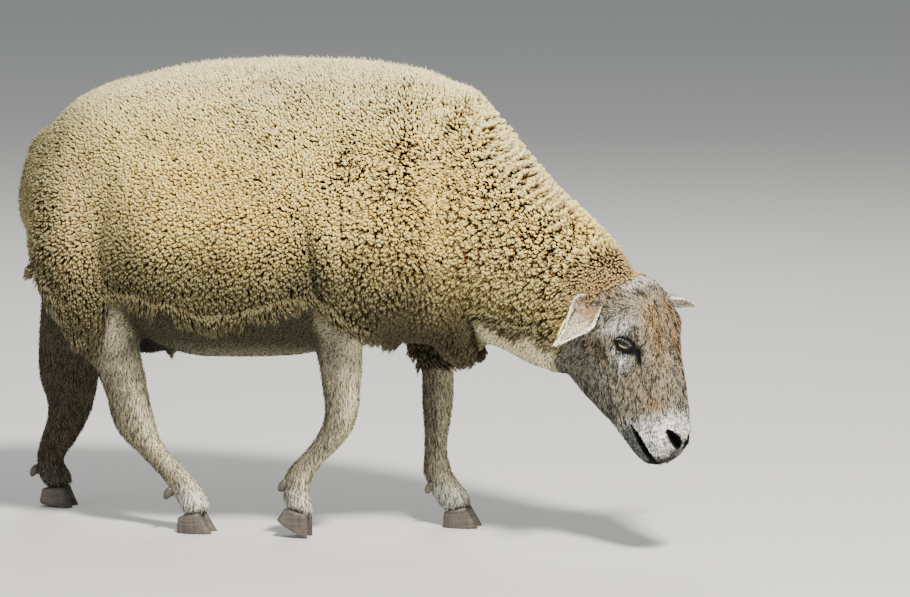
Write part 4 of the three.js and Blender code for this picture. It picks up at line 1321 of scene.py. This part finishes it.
def growWisps(skin, material):
    # thin wisps between and over the locks
    root, normal = skinSamples(skin, woolSet["wisps"], inWool)
    p, q = drawn(root), onHead(root)
    n = len(root)
    kinds = woolShares(p, q)
    back, felt = kinds["back"], kinds["felt"]
    loose = np.clip(back * 0.8 + felt * 0.9, 0, 1)
    height = (coatDepth(p, q) + fleeceRelief(p) * 0.5) * (0.45 + 0.55 * ramp(kinds["edge"], -4, 16))
    height *= 0.9 + 0.16 * rng.random(n)
    height *= 1 + 0.3 * back * rng.random(n) + 0.08 * kinds["rear"] - 0.1 * felt
    reach = (7 + 4 * kinds["lowFlank"] + 9 * kinds["hem"] - 3 * loose) * (0.6 + 0.9 * rng.random(n))
    data = growTufts(root, normal, woolLay(p, kinds), height, reach, woolSet["wispHalf"],
                     woolSet["wispThick"], 3, [0.0, 0.7], [1.0, 0.8], 0.6 - 0.4 * loose, woolSet["wispCurl"])
    colour = coatColour(p, q, np.full(n, 50.0), normal)
    coatPieces("woolWisps", material, root, data, colour, 0.85 + 0.45 * rng.random(n), regionOf(p))


hairSet = {"tries": 210000, "face": 2.2, "leg": 3.5, "belly": 5.2, "ear": 2.8,
           "faceLength": 7.0, "bodyLength": 8.0}


def hairLay(p, q):
    # down the legs, back along the belly, down the face towards the lips, out along the ears
    x, _, z = p.T
    f, _, w = q.T
    lay = mix(np.array([-0.6, 0.0, -0.8]), np.array([0, 0, -1.0]), fade(z, 240, 330))
    lay = mix(lay, np.array([-0.7, 0, -0.6]), ramp(x, 340, 380) * fade(f, -20, 20))
    # a whorl between the eyes: up and out above it, down the nose below it
    face = along * (1 - 1.7 * fade(f, 20, 64)[:, None]) + np.outer(-0.5 * ramp(np.abs(w), 15, 50), up)
    face = face + left * (np.sign(w) * 0.35 * ramp(np.abs(w), 2, 20))[:, None]
    lay = mix(lay, face, ramp(f, -10, 12) * atHead(p))
    for side in ("right", "left"):
        root, to, _, _ = earAxes(side)
        d = (q - root) @ to
        reach = lengthOf(q - root - d[:, None] * to)
        lay = mix(lay, to @ np.stack([along, up, left]), ramp(d, 8, 20) * (reach < 36))
    return lay + waver(p, 14, 61) * 0.8


def eyeClear(q):
    clear = np.ones(len(q), bool)
    for side in (-1, 1):
        e = inEye(q, side)
        t = np.hypot((e[:, 0] - 2.5) / (eyeSet["half"] + 5.0), e[:, 1] / (eyeSet["upper"] + 3.0))
        clear &= (t > 1) | (e[:, 2] < 0)
    return clear & (pathDistance(bothSides(q), tearPath, [3.6, 2.2, 1.0]) > 0)


def growHair(skin, material):
    def byPlace(p, q, face, leg, belly):
        return np.where((q[:, 0] > -10) & atHead(p), face, np.where(p[:, 2] < 260, leg, belly))

    def weight(c):
        p, q = drawn(c), onHead(c)
        inMouth = (mouthDistance(q) < 2.0) & (q[:, 0] > 208)
        bare = (woolAmount(p, q) < 4) & eyeClear(q) & (nostrilDistance(q) > 1.6) & ~inMouth
        return bare * byPlace(p, q, 1.0, 0.5, 0.24)

    root, normal = skinSamples(skin, hairSet["tries"], weight)
    p, q = drawn(root), onHead(root)
    spacing = byPlace(p, q, hairSet["face"], hairSet["leg"], hairSet["belly"])
    spacing = np.where(onEar(q), hairSet["ear"], spacing)
    keep = thinned(root, spacing * mm)
    root, normal, p, q = root[keep], normal[keep], p[keep], q[keep]
    onFace = byPlace(p, q, True, False, False)
    n = len(root)
    print("hair:", n, "tufts")
    long = np.where(onFace, hairSet["faceLength"], hairSet["bodyLength"]) * (0.75 + 0.5 * rng.random(n))
    long *= 1 - 0.4 * ramp(q[:, 0], 196, 236) * onFace
    long *= np.where(onEar(q), 0.6, 1.0)
    foot = fade(p[:, 2], 44, 62)
    long *= 1 + 0.5 * foot * ~onFace
    wide = np.where(onFace, 0.85, 0.95) * (0.8 + 0.5 * rng.random(n))
    rise = np.where(onFace, 0.16, 0.2) * long * (0.6 + 0.8 * rng.random(n))
    data = growTufts(root - normal * 0.4 * mm, normal, hairLay(p, q), rise + 0.5, long, wide, wide * 0.6, 3,
                     [0.0, 0.5], [1.0, 0.85], 0.8, 0.35)
    colour = faceMarks(p, q, coatColour(p, q, np.minimum(woolAmount(p, q), -20), normal))
    strand = softNoise(q * [0.3, 1, 1], 2.6, 73) * 0.65 + rng.random(n) * 0.35
    flicker = 0.14 + 2.3 * ramp(strand, 0.40, 0.66)
    bodyStrand = softNoise(p * [1, 1, 0.3], 3.2, 74) * 0.6 + rng.random(n) * 0.4
    flicker = np.where(onFace, flicker, 0.3 + 1.6 * ramp(bodyStrand, 0.36, 0.68))
    coatPieces("hair", material, root, data, colour, flicker, np.where(onFace, 1, 0))


def growLashes(material):
    # a pale fringe along each upper lid, bent down over the eye
    for side, name in ((-1, "lashesRight"), (1, "lashesLeft")):
        n = eyeSet["lashes"]
        x = np.linspace(-0.86, 0.8, n) * eyeSet["half"] + (rng.random(n) - 0.5) * 0.5
        upper, _ = lidEdge(x)
        z = np.sqrt(np.maximum((eyeSet["radius"] + 1.6) ** 2 - x ** 2 - upper ** 2, 1))
        root = np.stack([x, upper + 0.4, z], 1)
        out = unit(np.stack([x * 0.03, 0.25 + 0 * x, np.ones(n)], 1))
        downward = np.stack([0.25 * x / eyeSet["half"], -np.ones(n), 0.1 * np.ones(n)], 1)
        turn = np.stack(eyeBasis(side)[1:]) @ np.stack([along, up, left])
        rootCo = fromHead(fromEye(root, side))
        long = (6.5 + 3 * rng.random(n)) * (1 - 0.35 * (x / eyeSet["half"]) ** 2)
        data = growTufts(rootCo, unit(out @ turn), downward @ turn, long * 0.55, long * 0.75, 0.5, 0.35, 3,
                         [0.0, 0.5], [1.0, 0.8], 0.7, 0.3)
        colour = np.broadcast_to(tone["white"], rootCo.shape) * 0.55
        coatPieces(name, material, rootCo, data, colour, 0.6 + 0.5 * rng.random(n), np.zeros(n, int))


hoofSet = {"voxel": 1.7, "clawRounds": 9}


def makeHooves(material):
    # the claws and dewclaws of each foot, rounded off, as one piece a leg
    for leg in ("foreleg_right", "foreleg_left", "hindleg_right", "hindleg_left"):
        names = [f"{leg}_{kind}_{which}" for kind in ("claw", "dewclaw") for which in ("inner", "outer")]
        whole = bmesh.new()
        for name in names:
            one = placed("claw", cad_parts[name].data.copy())
            mesh = remeshed(one, hoofSet["voxel"])
            co, edges = coordsOf(mesh), edgesOf(mesh)
            sole = ramp(co[:, 2] / mm, 1, 5)
            setCoords(mesh, softened(co, normalsOf(mesh), edges, 0.35 + 0.65 * sole, hoofSet["clawRounds"]))
            whole.from_mesh(mesh)
            bpy.data.objects.remove(one)
        mesh = meshOf(whole, "hooves_" + leg)
        smoothFaces(mesh)
        made = placed("hooves_" + leg, mesh)
        mesh.materials.append(material)
        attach(made, "root")
        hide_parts(*names)
        print("hooves:", leg, len(mesh.polygons), "faces")


skin = makeSkin()
paintSkin(skin)
eyeCoat = eyeMaterial()
makeEye(-1, "eyeballRight", "eye_right")
makeEye(1, "eyeballLeft", "eye_left")
print("eyes: done")
hairCoat = hairMaterial()
woolCoat = woolMaterial()
growLocks(skin, woolCoat)
growWisps(skin, woolCoat)
growHair(skin, hairCoat)
growLashes(hairCoat)
makeHooves(hornMaterial())
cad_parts["ear_tag"].material_slots[0].material = tagMaterial()
print("coat: done")

view = {"azimuth": 15, "elevation": 8, "away": 7.0, "target": (0.299, 0.0, 0.376), "lens": 177.23}
az, el = math.radians(view["azimuth"]), math.radians(view["elevation"])
target = Vector(view["target"]) + Vector(drawnShift)
back = Vector((math.sin(az) * math.cos(el), -math.cos(az) * math.cos(el), math.sin(el)))
camera = placed("camera", bpy.data.cameras.new("camera"))
camera.data.lens = view["lens"]
camera.data.sensor_width = 36
camera.location = target + back * view["away"]
camera.rotation_euler = back.to_track_quat("Z", "Y").to_euler()
bpy.context.scene.camera = camera


def areaLight(name, place, size, power, colour):
    lamp = bpy.data.lights.new(name, "AREA")
    lamp.size = size
    lamp.energy = power
    lamp.color = colour
    made = placed(name, lamp)
    made.location = place
    made.rotation_euler = (Vector(place) - Vector((0, 0, 0.4))).to_track_quat("Z", "Y").to_euler()


areaLight("keyLight", (1.9, -2.5, 4.2), 0.7, 670, (1.0, 0.96, 0.88))
areaLight("fillLight", (-3.2, -3.0, 1.6), 3.0, 45, (0.92, 0.96, 1.0))
areaLight("backLight", (-0.6, 3.0, 3.4), 1.6, 110, (1.0, 0.98, 0.94))
world = bpy.data.worlds.new("world")
bpy.context.scene.world = world
world.use_nodes = True
sky = world.node_tree.nodes["Background"].inputs
sky["Color"].default_value = (0.82, 0.86, 0.92, 1)
sky["Strength"].default_value = 0.42

bpy.ops.mesh.primitive_plane_add(size=90, location=(0, 0, 0))
floor = bpy.context.object
floor.name = "floor"
floorMaterial, shader = newMaterial("paleFloor", 0.85, 0.5)
shader.inputs["Base Color"].default_value = (0.55, 0.55, 0.53, 1)
floor.data.materials.append(floorMaterial)
